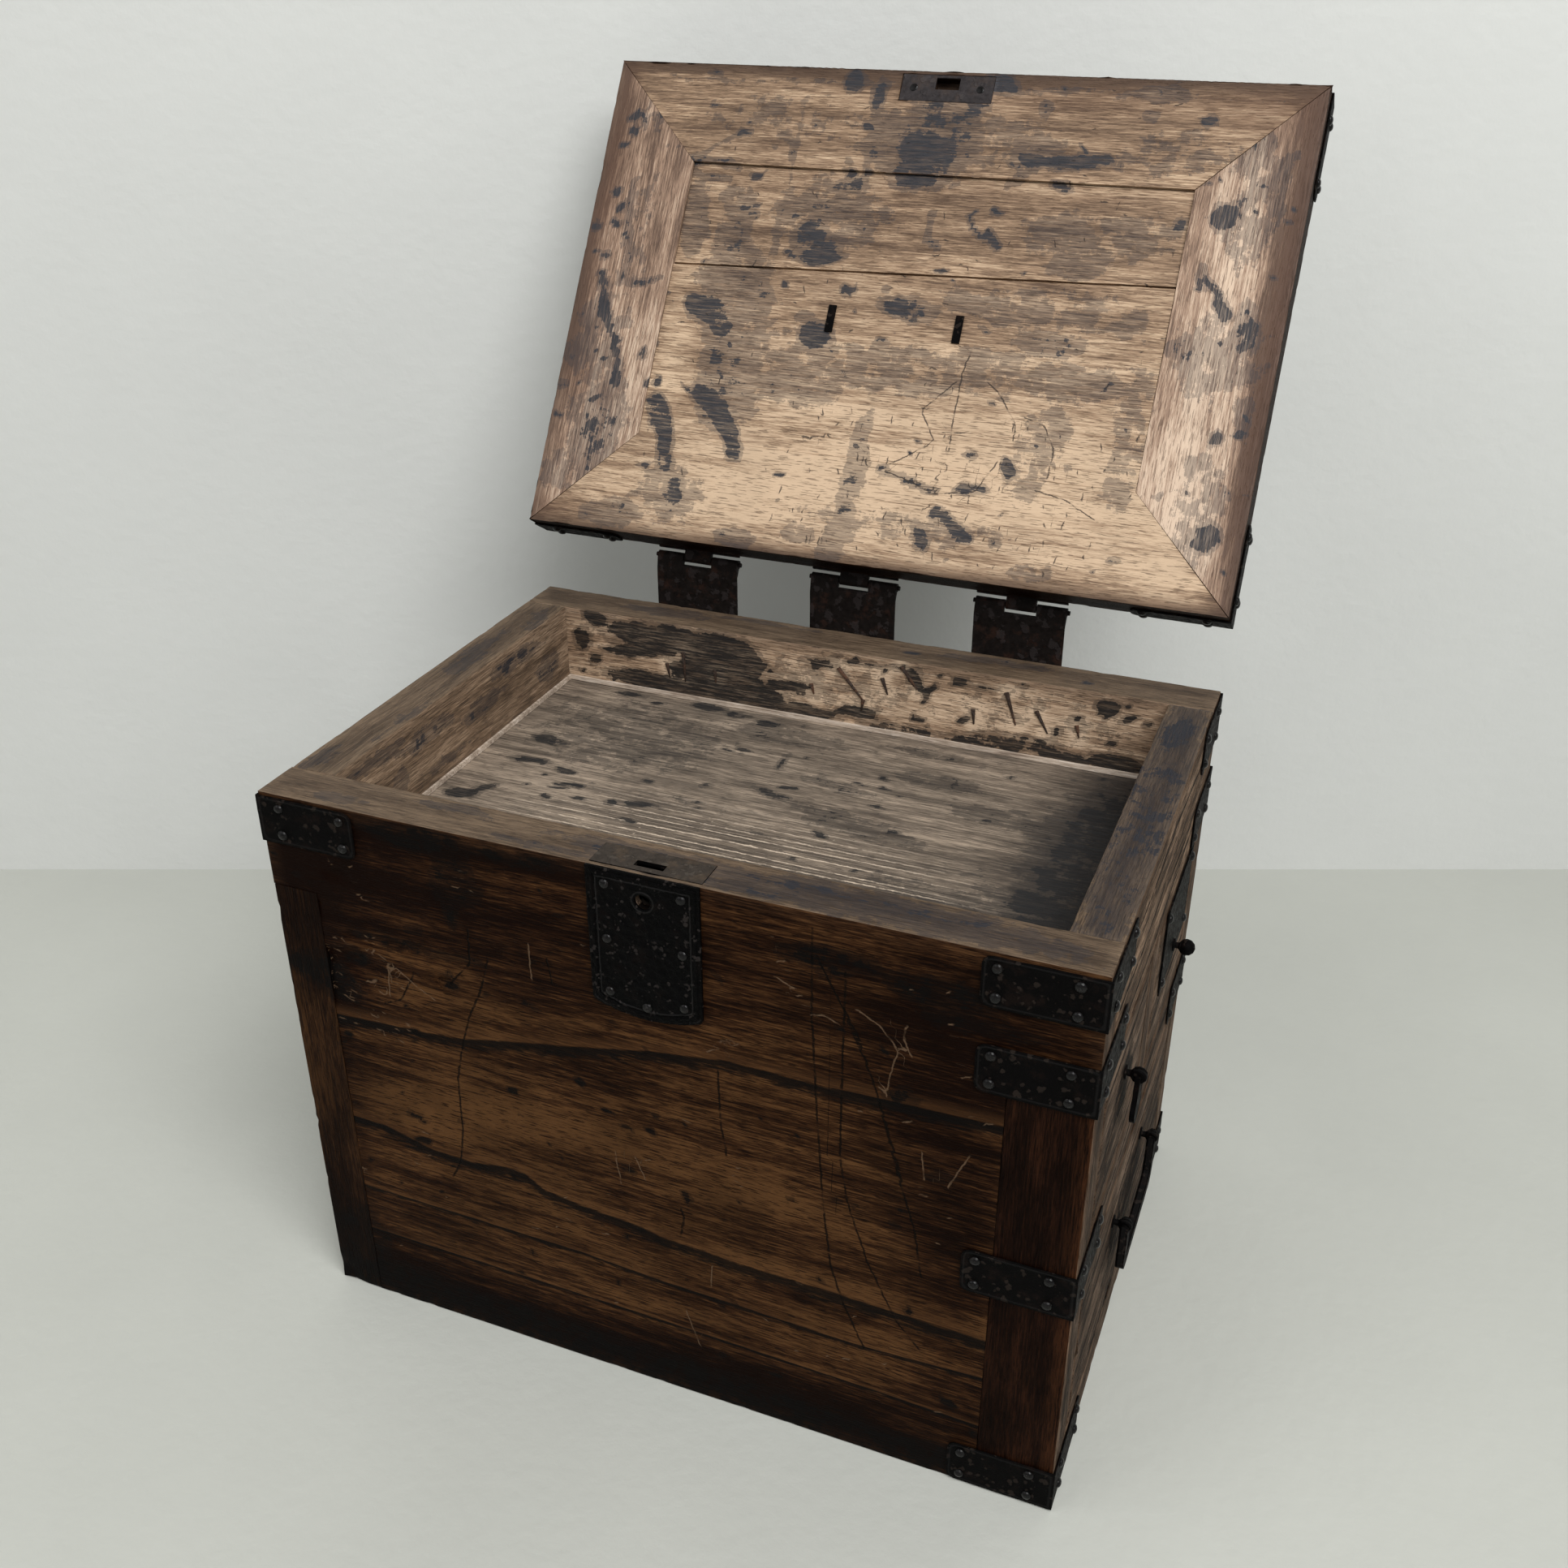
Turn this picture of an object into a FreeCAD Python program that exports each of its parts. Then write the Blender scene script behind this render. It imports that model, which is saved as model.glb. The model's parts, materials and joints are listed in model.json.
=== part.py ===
import FreeCAD, Part
import math
import os

# Japanese ship chest: a nailed board box with a shallow tray under a hinged lid and
# three drawers in its right end.  Millimetres, +Z up, origin at the bottom's centre,
# front towards -Y, drawers opening towards +X.

Vec = FreeCAD.Vector
X_AXIS = Vec(1, 0, 0)
Y_AXIS = Vec(0, 1, 0)
Z_AXIS = Vec(0, 0, 1)
MIDDLE = Vec(0, 0, 0)

# Chest body: overall plan and board thicknesses
BODY_WIDTH = 450.0
BODY_DEPTH = 312.0
WALL_THICK = 29.0            # front and back boards
LEFT_THICK = 28.0            # left end board
RAIL_THICK = 26.0            # rails and stile round the drawers
POST_WIDTH = 42.0            # corner posts of the drawer end
SHELF_THICK = 15.0
PARTITION_THICK = 14.0
TRAY_FLOOR_THICK = 16.0

# Heights, stacked from the foot up
BOTTOM_RAIL = 29.0
LOWER_OPENING = 111.0
MIDDLE_RAIL = 30.0
UPPER_OPENING = 98.0
KICKER_GAP = 11.0            # tray floor above the upper drawers' opening
TRAY_DEPTH = 52.0
CENTRE_STILE = 28.0          # width of the upright between the upper drawers
GUIDE_HEIGHT = 10.0
LEFT_LAP_HEIGHT = 57.0       # front board's lap over the left board, down from the rim
BEAD_HEIGHT = 3.0
BEAD_THICK = 1.5

# Drawers
DRAWER_FRONT_THICK = 20.0
DRAWER_SIDE_THICK = 9.0
DRAWER_BOTTOM_THICK = 7.0
DRAWER_SIDE_GAP = 0.8
DRAWER_TOP_GAP = 1.0
DRAWER_RUN_GAP = 0.3
DRAWER_STOP_GAP = 0.3
SIDE_DROP = 5.0              # drawer sides stand this much below the front
EDGE_EASE = 1.2              # worn edge of a drawer front

# Lid
LID_THICK = 28.0
LID_FRAME = 65.0             # width of the mitred frame
LID_FRONT_SETBACK = 1.5
LID_BACK_GAP = 0.5
LID_SHUT_GAP = 0.8
LID_OPEN = 122.0             # degrees from shut to its stop
CRACK_LEFT = 178.0           # open joint of the panel, measured from the lid's back edge
CRACK_RIGHT = 187.0
CRACK_GAP = 1.4
FRONT_PANEL_RECESS = 2.0
BACK_PANEL_RECESS = 0.6

# Hinges
HINGE_MIDDLE = -7.0          # x of the middle hinge
HINGE_PITCH = 107.5
LEAF_WIDTH = 57.0
LEAF_THICK = 1.5
BODY_LEAF = 64.0             # leaf on the back board, down from the rim
LID_LEAF = 70.0              # leaf on the lid, from its back edge
AXIS_BEHIND = 4.5            # hinge axis behind the back board
AXIS_ABOVE = 3.7             # hinge axis above the shut lid
BARREL_RADIUS = 3.0
BARREL_SIDES = 12            # flats left by the hammer round a barrel
BARREL_GAP = 1.4             # open notch round the other leaf's barrel
KNUCKLE_WIDTH = 19.0         # middle knuckle
KNUCKLE_GAP = 0.4
CRANK = 8.0                  # length over which a leaf bends out to its barrel
LEAF_CORNER = 4.0            # corner clipped off a leaf's far end
PIN_RADIUS = 1.4
PIN_CLEARANCE = 0.05
PIN_PROUD = 1.5

# Plates, straps and nails
PLATE_THICK = 1.2
STRAP_HEIGHT = 28.0
STRAP_LEG = 58.0
STRAP_CORNER = 5.0
CORNER_CUTS = 3              # straight cuts that round a strap's corner
STRAP_NAIL_END = 7.5         # outer nails, from a leg's free end
STRAP_NAIL_CORNER = 13.0     # inner nails, from the chest's corner
STRAP_NAIL_SPREAD = 16.0
STRAP_RIM_GAP = 1.8          # top straps below the rim
STRAP_FOOT_GAP = 0.8
STRAP_LAP_GAP = 0.5          # strap above the post's upper end
LID_STRAP_HEIGHT = 18.0
LID_STRAP_SPREAD = 8.0
NAIL_RADIUS = 3.0
NAIL_HEIGHT = 1.7
NAIL_SHOULDER = 2.2
NAIL_SHOULDER_HEIGHT = 1.1
FLAT_NAIL_RADIUS = 2.6       # nails of the catch plate, hammered nearly flush
FLAT_NAIL_HEIGHT = 0.4
NAIL_SIDES = 8
POST_SIDES = 12
HEAD_STEPS = 5               # facets from a post's neck to its tip
LEAF_NAIL_INSET = 11.0

# Lid lock in the front board
LOCK_X = -1.0
LOCK_PLATE_WIDTH = 61.0
LOCK_PLATE_HEIGHT = 85.0
LOCK_PLATE_SAG = 6.0         # bulge of its lower edge
LOCK_BORDER = 1.6
LOCK_BORDER_INSET = 2.2
LOCK_BORDER_PROUD = 0.5
LOCK_CORNER = 4.0            # round of its lower corners
LOCK_NAIL_INSET = 10.0
LOCK_NAIL_TOP = 9.0
LOCK_NAIL_LOW = 6.5          # lowest pair above the plate's lower corners
LOCK_NAIL_TIP = 7.5          # single nail above the bulge's lowest point
KEYHOLE_RADIUS = 4.2
KEYHOLE_DROP = 15.0          # keyhole below the rim
RIM_PLATE_WIDTH = 60.0
RIM_PLATE_DEPTH = 18.0
RIM_PLATE_THICK = 2.0
RIM_PLATE_SETBACK = 3.0
CASE_WIDTH = 52.0
CASE_DEPTH = 12.0
CASE_HEIGHT = 45.0
CASE_WALL = 2.0
CASE_SETBACK = 4.0
CASE_CLEARANCE = 0.2
RIM_SLOT_LENGTH = 15.9
RIM_SLOT_WIDTH = 4.9
BOLT_SETBACK = 9.0           # bolt's middle behind the front face
BOLT_WIDTH = 12.0
BOLT_THICK = 3.0
BOLT_DROP = 5.0              # bolt's tip below the rim
BOLT_FOOT_WIDTH = 38.0
BOLT_FOOT_HEIGHT = 14.0
BOLT_FOOT_GAP = 0.3
BOLT_TRAVEL = 12.0
CATCH_WIDTH = 59.0
CATCH_DEPTH = 17.0
CATCH_THICK = 1.5
CATCH_SETBACK = 2.0
CATCH_SLOT_LENGTH = 15.0
CATCH_SLOT_WIDTH = 7.2
CATCH_NAIL_SPACING = 42.5
CATCH_RECESS_SIDE = 2.0      # recess wider than the slot
CATCH_ROOM = 5.0             # recess deeper than the raised bolt

# Pulls: a round-headed post clinched through its board, and a bail or drop on it
SHANK_RADIUS = 2.0
SHANK_CLEARANCE = 0.1
COLLAR_RADIUS = 4.2
COLLAR_THICK = 1.0
NECK_RADIUS = 1.9
CROSS_PIN = 1.4
SWING_GAP = 0.35
TONGUE_LENGTH = 15.0
TONGUE_WIDTH = 5.0
TONGUE_THICK = 1.2

LOWER_PULL_SPACING = 80.0
LOWER_PULL_RISE = 74.0       # axis above the lower drawer's opening
LOWER_PULL_STANDOFF = 7.0
LOWER_PULL_HEAD = 4.2
LOWER_PULL_DROP = 31.0
LOWER_BAR = 8.5
LOWER_BAR_THICK = 5.0

LID_PULL_X = -5.0
LID_PULL_SPACING = 82.0
LID_PULL_BACK = 157.0        # from the lid's back edge
LID_PULL_STANDOFF = 8.0
LID_PULL_HEAD = 4.6
LID_PULL_DROP = 36.0
LID_BAR = 9.0
LID_BAR_THICK = 6.0

DROP_PULL_RISE = 62.0        # axis above the upper drawers' opening
DROP_PULL_STANDOFF = 7.0
DROP_PULL_HEAD = 4.6
DROP_LENGTH = 30.0
DROP_WIDTH = 18.0
DROP_THICK = 2.8
EAR_THICK = 1.9
EAR_CORNER = 0.3             # corner taken off a fork's ears, as a share of the bar's thickness

DRAWER_PLATE_WIDTH = 84.0
DRAWER_PLATE_HEIGHT = 55.0
KNOB_RISE = 51.0             # above the upper drawers' opening
KNOB_RADIUS = 5.0
KNOB_STANDOFF = 7.5

# Faces and levels worked out from the sizes above
LEFT = -BODY_WIDTH / 2
RIGHT = BODY_WIDTH / 2
FRONT = -BODY_DEPTH / 2
BACK = BODY_DEPTH / 2
LEFT_IN = LEFT + LEFT_THICK
RIGHT_IN = RIGHT - RAIL_THICK
FRONT_IN = FRONT + WALL_THICK
BACK_IN = BACK - WALL_THICK
POST_IN = RIGHT - POST_WIDTH
LOWER_LOW = BOTTOM_RAIL
LOWER_HIGH = LOWER_LOW + LOWER_OPENING
UPPER_LOW = LOWER_HIGH + MIDDLE_RAIL
UPPER_HIGH = UPPER_LOW + UPPER_OPENING
TRAY_UNDER = UPPER_HIGH + KICKER_GAP
TRAY_TOP = TRAY_UNDER + TRAY_FLOOR_THICK
RIM = TRAY_TOP + TRAY_DEPTH
POST_TOP = UPPER_HIGH
LEFT_LAP = RIM - LEFT_LAP_HEIGHT
STILE_HALF = CENTRE_STILE / 2

LID_UNDER = RIM + LID_SHUT_GAP
LID_TOP = LID_UNDER + LID_THICK
LID_FRONT = FRONT + LID_FRONT_SETBACK
LID_BACK = BACK - LID_BACK_GAP
HINGE_Y = BACK + AXIS_BEHIND
HINGE_Z = LID_TOP + AXIS_ABOVE
BOLT_Y = FRONT + BOLT_SETBACK
HINGE_PLACES = [HINGE_MIDDLE + side * HINGE_PITCH for side in (-1, 0, 1)]


# ---- small helpers -------------------------------------------------------------------

def block(x, y, z):
    """Board between three pairs of limits."""
    return Part.makeBox(x[1] - x[0], y[1] - y[0], z[1] - z[0], Vec(x[0], y[0], z[0]))


def slab(corners, push):
    """Flat outline through the corners, pushed along a vector."""
    outline = Part.makePolygon(corners + corners[:1])
    return Part.Face(outline).extrude(push)


def rod(radius, start, end):
    """Round bar from one point to another."""
    run = end - start
    return Part.makeCylinder(radius, run.Length, start, run)


def edges_at(solid, axis, place):
    """Edges that lie wholly in the plane where a coordinate has one value."""
    picked = []
    for edge in solid.Edges:
        box = edge.BoundBox
        low = getattr(box, axis + "Min")
        high = getattr(box, axis + "Max")
        if abs(low - place) < 1e-4 and abs(high - place) < 1e-4:
            picked.append(edge)
    return picked


def edges_along(solid, axis):
    """Straight edges parallel to a coordinate axis."""
    others = [name for name in "XYZ" if name != axis]
    picked = []
    for edge in solid.Edges:
        box = edge.BoundBox
        if all(getattr(box, name + "Length") < 1e-4 for name in others):
            picked.append(edge)
    return picked


def opened(shape):
    """A piece of the shut lid, turned to where the open lid stands."""
    return shape.rotated(Vec(0, HINGE_Y, HINGE_Z), X_AXIS, -LID_OPEN)


def flipped(shape, normal):
    """Mirror image through the chest's middle plane."""
    return shape.mirror(MIDDLE, normal)


def forged(profile, sides):
    """Many-sided solid along +Z, as a smith hammers a round: a flat at each side.

    The profile is a list of (radius, height) from the base up; it ends in a point."""
    rings = []
    for radius, height in profile[:-1]:
        ring = []
        for side in range(sides):
            angle = 2 * math.pi * side / sides
            ring.append(Vec(radius * math.cos(angle), radius * math.sin(angle), height))
        rings.append(ring)
    tip = Vec(0, 0, profile[-1][1])
    outlines = [rings[0]]
    for side in range(sides):
        after = (side + 1) % sides
        for low, high in zip(rings, rings[1:]):
            outlines.append([low[side], low[after], high[after], high[side]])
        outlines.append([rings[-1][side], rings[-1][after], tip])
    faces = [Part.Face(Part.makePolygon(points + points[:1])) for points in outlines]
    solid = Part.Solid(Part.Shell(faces))
    return solid if solid.Volume > 0 else solid.reversed()


DOMED = [(NAIL_RADIUS, 0), (NAIL_SHOULDER, NAIL_SHOULDER_HEIGHT), (0, NAIL_HEIGHT)]
FLAT = [(FLAT_NAIL_RADIUS, 0), (0, FLAT_NAIL_HEIGHT)]


def nail(x, y, z, outward, profile=DOMED):
    """Nail head seated at a point, its top pointing outward."""
    head = forged(profile, NAIL_SIDES)
    head.Placement = FreeCAD.Placement(Vec(x, y, z), FreeCAD.Rotation(Z_AXIS, outward))
    return head


# ---- carcass -------------------------------------------------------------------------

def wall_outline(y):
    """Front board's outline: laps over the left board and the right post at the top."""
    return [
        Vec(LEFT_IN, y, 0),
        Vec(POST_IN, y, 0),
        Vec(POST_IN, y, POST_TOP),
        Vec(RIGHT, y, POST_TOP),
        Vec(RIGHT, y, RIM),
        Vec(LEFT, y, RIM),
        Vec(LEFT, y, LEFT_LAP),
        Vec(LEFT_IN, y, LEFT_LAP)]


def keyhole(start, end):
    """Cutter for the keyhole between two depths along Y."""
    height = RIM - KEYHOLE_DROP
    return rod(KEYHOLE_RADIUS, Vec(LOCK_X, start, height), Vec(LOCK_X, end, height))


def lock_limits(width):
    """Limits along X of a lock piece of the given width."""
    return (LOCK_X - width / 2, LOCK_X + width / 2)


def front_board():
    board = slab(wall_outline(FRONT), Vec(0, WALL_THICK, 0))
    pocket = block(
        lock_limits(CASE_WIDTH + 2 * CASE_CLEARANCE),
        (FRONT + CASE_SETBACK - CASE_CLEARANCE,
         FRONT + CASE_SETBACK + CASE_DEPTH + CASE_CLEARANCE),
        (RIM - RIM_PLATE_THICK - CASE_HEIGHT - CASE_CLEARANCE, RIM))
    rebate = block(
        lock_limits(RIM_PLATE_WIDTH),
        (FRONT + RIM_PLATE_SETBACK, FRONT + RIM_PLATE_SETBACK + RIM_PLATE_DEPTH),
        (RIM - RIM_PLATE_THICK, RIM))
    return board.cut([pocket, rebate, keyhole(FRONT, FRONT + CASE_SETBACK)])


def back_board():
    return flipped(slab(wall_outline(FRONT), Vec(0, WALL_THICK, 0)), Y_AXIS)


def left_side_board():
    outline = [
        Vec(LEFT, FRONT, 0),
        Vec(LEFT, BACK, 0),
        Vec(LEFT, BACK, LEFT_LAP),
        Vec(LEFT, BACK_IN, LEFT_LAP),
        Vec(LEFT, BACK_IN, RIM),
        Vec(LEFT, FRONT_IN, RIM),
        Vec(LEFT, FRONT_IN, LEFT_LAP),
        Vec(LEFT, FRONT, LEFT_LAP)]
    return slab(outline, Vec(LEFT_THICK, 0, 0))


def front_post():
    return block((POST_IN, RIGHT), (FRONT, FRONT_IN), (0, POST_TOP))


def end_rail(low, high):
    """Rail across the drawer end between two levels."""
    return block((RIGHT_IN, RIGHT), (FRONT_IN, BACK_IN), (low, high))


def inner_board(low, high):
    """Level board that fills the chest's inside."""
    return block((LEFT_IN, RIGHT_IN), (FRONT_IN, BACK_IN), (low, high))


def centre_stile():
    return block((RIGHT_IN, RIGHT), (-STILE_HALF, STILE_HALF), (UPPER_LOW, UPPER_HIGH))


def drawer_partition():
    half = PARTITION_THICK / 2
    return block((LEFT_IN, RIGHT_IN), (-half, half), (UPPER_LOW, TRAY_UNDER))


def drawer_guides():
    guide = block(
        (LEFT_IN, RIGHT_IN),
        (PARTITION_THICK / 2, STILE_HALF),
        (UPPER_LOW, UPPER_LOW + GUIDE_HEIGHT))
    return [guide, flipped(guide, Y_AXIS)]


def tray_bead():
    """Thin strip in the corner of the tray floor, along the back and left walls."""
    levels = (TRAY_TOP, TRAY_TOP + BEAD_HEIGHT)
    along_back = block((LEFT_IN, RIGHT_IN), (BACK_IN - BEAD_THICK, BACK_IN), levels)
    along_left = block((LEFT_IN, LEFT_IN + BEAD_THICK), (FRONT_IN, BACK_IN), levels)
    return along_back.fuse(along_left).removeSplitter()


# ---- drawers -------------------------------------------------------------------------

class Drawer:
    """A drawer of five boards in an opening of the right end."""

    def __init__(self, y_low, y_high, z_low, z_high):
        self.y = (y_low + DRAWER_SIDE_GAP, y_high - DRAWER_SIDE_GAP)
        self.z = (z_low + DRAWER_RUN_GAP, z_high - DRAWER_TOP_GAP)
        self.x_back = LEFT_IN + DRAWER_STOP_GAP
        self.x_front = RIGHT - DRAWER_FRONT_THICK
        self.wall_z = (self.z[0] + DRAWER_BOTTOM_THICK, self.z[1] - SIDE_DROP)
        self.y_middle = (self.y[0] + self.y[1]) / 2

    def front(self, shank_places):
        """Front board, eased round its face and bored for the posts of its pull."""
        board = block((self.x_front, RIGHT), self.y, self.z)
        board = board.makeChamfer(EDGE_EASE, edges_at(board, "X", RIGHT))
        for y, z in shank_places:
            hole = rod(SHANK_RADIUS + SHANK_CLEARANCE, Vec(self.x_front, y, z), Vec(RIGHT, y, z))
            board = board.cut(hole)
        return board

    def sides(self):
        near = block(
            (self.x_back, self.x_front), (self.y[0], self.y[0] + DRAWER_SIDE_THICK), self.wall_z)
        far = block(
            (self.x_back, self.x_front), (self.y[1] - DRAWER_SIDE_THICK, self.y[1]), self.wall_z)
        return [near, far]

    def back(self):
        return block(
            (self.x_back, self.x_back + DRAWER_SIDE_THICK),
            (self.y[0] + DRAWER_SIDE_THICK, self.y[1] - DRAWER_SIDE_THICK),
            self.wall_z)

    def bottom(self):
        return block((self.x_back, self.x_front), self.y, (self.z[0], self.wall_z[0]))


# ---- lid -----------------------------------------------------------------------------

def lid_member(corners):
    """Mitred frame member, given its plan corners."""
    return slab([Vec(x, y, LID_UNDER) for x, y in corners], Vec(0, 0, LID_THICK))


def lid_rail(edge, inner):
    return lid_member([
        (LEFT, edge),
        (RIGHT, edge),
        (RIGHT - LID_FRAME, inner),
        (LEFT + LID_FRAME, inner)])


def lid_front_rail():
    """Front member, cut for the catch plate and for the bolt behind it."""
    rail = lid_rail(LID_FRONT, LID_FRONT + LID_FRAME)
    catch_y = (LID_FRONT + CATCH_SETBACK, LID_FRONT + CATCH_SETBACK + CATCH_DEPTH)
    seat = block(lock_limits(CATCH_WIDTH), catch_y, (LID_UNDER, LID_UNDER + CATCH_THICK))
    half = CATCH_SLOT_WIDTH / 2 + CATCH_RECESS_SIDE
    raised_tip = RIM - BOLT_DROP + BOLT_TRAVEL
    recess = block(
        lock_limits(CATCH_SLOT_LENGTH + 2 * CATCH_RECESS_SIDE),
        (BOLT_Y - half, BOLT_Y + half),
        (LID_UNDER, raised_tip + CATCH_ROOM))
    return opened(rail.cut([seat, recess]))


def lid_back_rail():
    return opened(lid_rail(LID_BACK, LID_BACK - LID_FRAME))


def lid_stile(edge, inner):
    return opened(lid_member([
        (edge, LID_FRONT),
        (edge, LID_BACK),
        (inner, LID_BACK - LID_FRAME),
        (inner, LID_FRONT + LID_FRAME)]))


def lid_panel(left_edge, right_edge, far_edge, recess):
    """Panel board between its slanting joint edge and the frame, flush on top."""
    left = LEFT + LID_FRAME
    right = RIGHT - LID_FRAME
    corners = [(left, left_edge), (right, right_edge), (right, far_edge), (left, far_edge)]
    low = LID_UNDER + recess
    return slab([Vec(x, y, low) for x, y in corners], Vec(0, 0, LID_THICK - recess))


def lid_front_panel():
    half = CRACK_GAP / 2
    return opened(lid_panel(
        LID_BACK - CRACK_LEFT - half,
        LID_BACK - CRACK_RIGHT - half,
        LID_FRONT + LID_FRAME,
        FRONT_PANEL_RECESS))


def lid_pull_places():
    return [LID_PULL_X - LID_PULL_SPACING / 2, LID_PULL_X + LID_PULL_SPACING / 2]


def lid_back_panel():
    """Rear panel board, bored for the shanks of the carrying handle."""
    half = CRACK_GAP / 2
    panel = lid_panel(
        LID_BACK - CRACK_LEFT + half,
        LID_BACK - CRACK_RIGHT + half,
        LID_BACK - LID_FRAME,
        BACK_PANEL_RECESS)
    y = LID_BACK - LID_PULL_BACK
    for x in lid_pull_places():
        hole = rod(SHANK_RADIUS + SHANK_CLEARANCE, Vec(x, y, LID_UNDER), Vec(x, y, LID_TOP))
        panel = panel.cut(hole)
    return opened(panel)


# ---- hinges --------------------------------------------------------------------------

def leaf_profile(length, axis_out, thickness_bend):
    """Side view of a leaf: flat plate, then a crank out to the barrel at the origin.

    The first coordinate runs along the leaf towards the barrel, the second away from
    the wood, whose face lies at minus axis_out."""
    face = -axis_out
    return [
        (-length, face),
        (-CRANK, face),
        (0, -BARREL_RADIUS),
        (0, 0),
        (-BARREL_RADIUS, 0),
        (-CRANK, face + thickness_bend),
        (-length, face + thickness_bend)]


def barrel(start, end):
    """Rolled knuckle along the Y axis."""
    ring = []
    for side in range(BARREL_SIDES):
        angle = 2 * math.pi * side / BARREL_SIDES
        ring.append(Vec(BARREL_RADIUS * math.cos(angle), start, BARREL_RADIUS * math.sin(angle)))
    return slab(ring, Vec(0, end - start, 0))


def leaf(length, axis_out, knuckles):
    """Hinge leaf along +X of its own frame, barrel on the Y axis through the origin.

    knuckles are the stretches of the axis that carry barrel; the others are notched."""
    half = LEAF_WIDTH / 2
    corners = [Vec(u, -half, v) for u, v in leaf_profile(length, axis_out, LEAF_THICK)]
    plate = slab(corners, Vec(0, LEAF_WIDTH, 0))
    far_corners = [e for e in edges_at(plate, "X", -length) if e.Length < 2 * LEAF_THICK]
    plate = plate.makeChamfer(LEAF_CORNER, far_corners)
    reach = BARREL_RADIUS + BARREL_GAP
    notches = []
    for start, end in knuckles["open"]:
        notches.append(block((-reach, reach), (start, end), (-2 * axis_out, 2 * axis_out)))
    plate = plate.cut(notches)
    barrels = [barrel(start, end) for start, end in knuckles["barrel"]]
    bore = rod(PIN_RADIUS + PIN_CLEARANCE, Vec(0, -LEAF_WIDTH, 0), Vec(0, LEAF_WIDTH, 0))
    return plate.fuse(barrels).removeSplitter().cut(bore)


HALF_KNUCKLE = KNUCKLE_WIDTH / 2
HALF_LEAF = LEAF_WIDTH / 2
OUTER_KNUCKLES = [
    (-HALF_LEAF, -HALF_KNUCKLE - KNUCKLE_GAP),
    (HALF_KNUCKLE + KNUCKLE_GAP, HALF_LEAF)]
BODY_KNUCKLES = {
    "barrel": OUTER_KNUCKLES,
    "open": [(-HALF_KNUCKLE - KNUCKLE_GAP, HALF_KNUCKLE + KNUCKLE_GAP)]}
LID_KNUCKLES = {
    "barrel": [(-HALF_KNUCKLE, HALF_KNUCKLE)],
    "open": [(-HALF_LEAF, -HALF_KNUCKLE), (HALF_KNUCKLE, HALF_LEAF)]}


def body_leaf(x):
    """Leaf on the back board: stands up behind the lid to the outer knuckles."""
    length = HINGE_Z - RIM + BODY_LEAF
    shape = leaf(length, AXIS_BEHIND, BODY_KNUCKLES)
    shape = shape.rotated(MIDDLE, Y_AXIS, -90)
    shape = shape.rotated(MIDDLE, Z_AXIS, -90)
    return shape.translated(Vec(x, HINGE_Y, HINGE_Z))


def lid_leaf(x):
    """Leaf on the lid's upper face, with the middle knuckle."""
    length = HINGE_Y - LID_BACK + LID_LEAF
    shape = leaf(length, AXIS_ABOVE, LID_KNUCKLES)
    shape = shape.rotated(MIDDLE, Z_AXIS, 90)
    return opened(shape.translated(Vec(x, HINGE_Y, HINGE_Z)))


def hinge_pin(x):
    half = HALF_LEAF + PIN_PROUD
    return rod(PIN_RADIUS, Vec(x - half, HINGE_Y, HINGE_Z), Vec(x + half, HINGE_Y, HINGE_Z))


# ---- straps --------------------------------------------------------------------------

def leg_outline(length, low, high):
    """Points (along, up) round a strap's leg, its free end at zero and cut round."""
    points = [(length, low)]
    for middle, first in ((low + STRAP_CORNER, 270), (high - STRAP_CORNER, 180)):
        for cut in range(CORNER_CUTS + 1):
            angle = math.radians(first - 90 * cut / CORNER_CUTS)
            along = STRAP_CORNER + STRAP_CORNER * math.cos(angle)
            points.append((along, middle + STRAP_CORNER * math.sin(angle)))
    points.append((length, high))
    return points


def corner_strap(front, low, height):
    """Strap round the front right corner, one leg on each face."""
    outline = leg_outline(STRAP_LEG + PLATE_THICK, low, low + height)
    free_x = RIGHT - STRAP_LEG
    free_y = front + STRAP_LEG
    on_front = slab(
        [Vec(free_x + along, front, up) for along, up in outline], Vec(0, -PLATE_THICK, 0))
    on_side = slab(
        [Vec(RIGHT, free_y - along, up) for along, up in outline], Vec(PLATE_THICK, 0, 0))
    return on_front.fuse(on_side).removeSplitter()


def strap_nails(front, low, height, spread):
    """Four nails in each leg of a corner strap."""
    middle = low + height / 2
    heads = []
    for along in (STRAP_NAIL_CORNER, STRAP_LEG - STRAP_NAIL_END):
        for z in (middle - spread / 2, middle + spread / 2):
            heads.append(nail(RIGHT - along, front - PLATE_THICK, z, -Y_AXIS))
            heads.append(nail(RIGHT + PLATE_THICK, front + along, z, X_AXIS))
    return heads


def strap_levels():
    """Lower edges of the four straps on a drawer-end corner, from the top down."""
    rail_middle = LOWER_HIGH + MIDDLE_RAIL / 2
    return [
        RIM - STRAP_RIM_GAP - STRAP_HEIGHT,
        POST_TOP + STRAP_LAP_GAP,
        rail_middle - STRAP_HEIGHT / 2,
        STRAP_FOOT_GAP]


def lid_straps():
    """One strap round each corner of the lid, over the upper part of its edge."""
    low = LID_TOP - LID_STRAP_HEIGHT
    front_right = corner_strap(LID_FRONT, low, LID_STRAP_HEIGHT)
    back_right = flipped(corner_strap(-LID_BACK, low, LID_STRAP_HEIGHT), Y_AXIS)
    right = [front_right, back_right]
    return [opened(strap) for strap in right + [flipped(strap, X_AXIS) for strap in right]]


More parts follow.
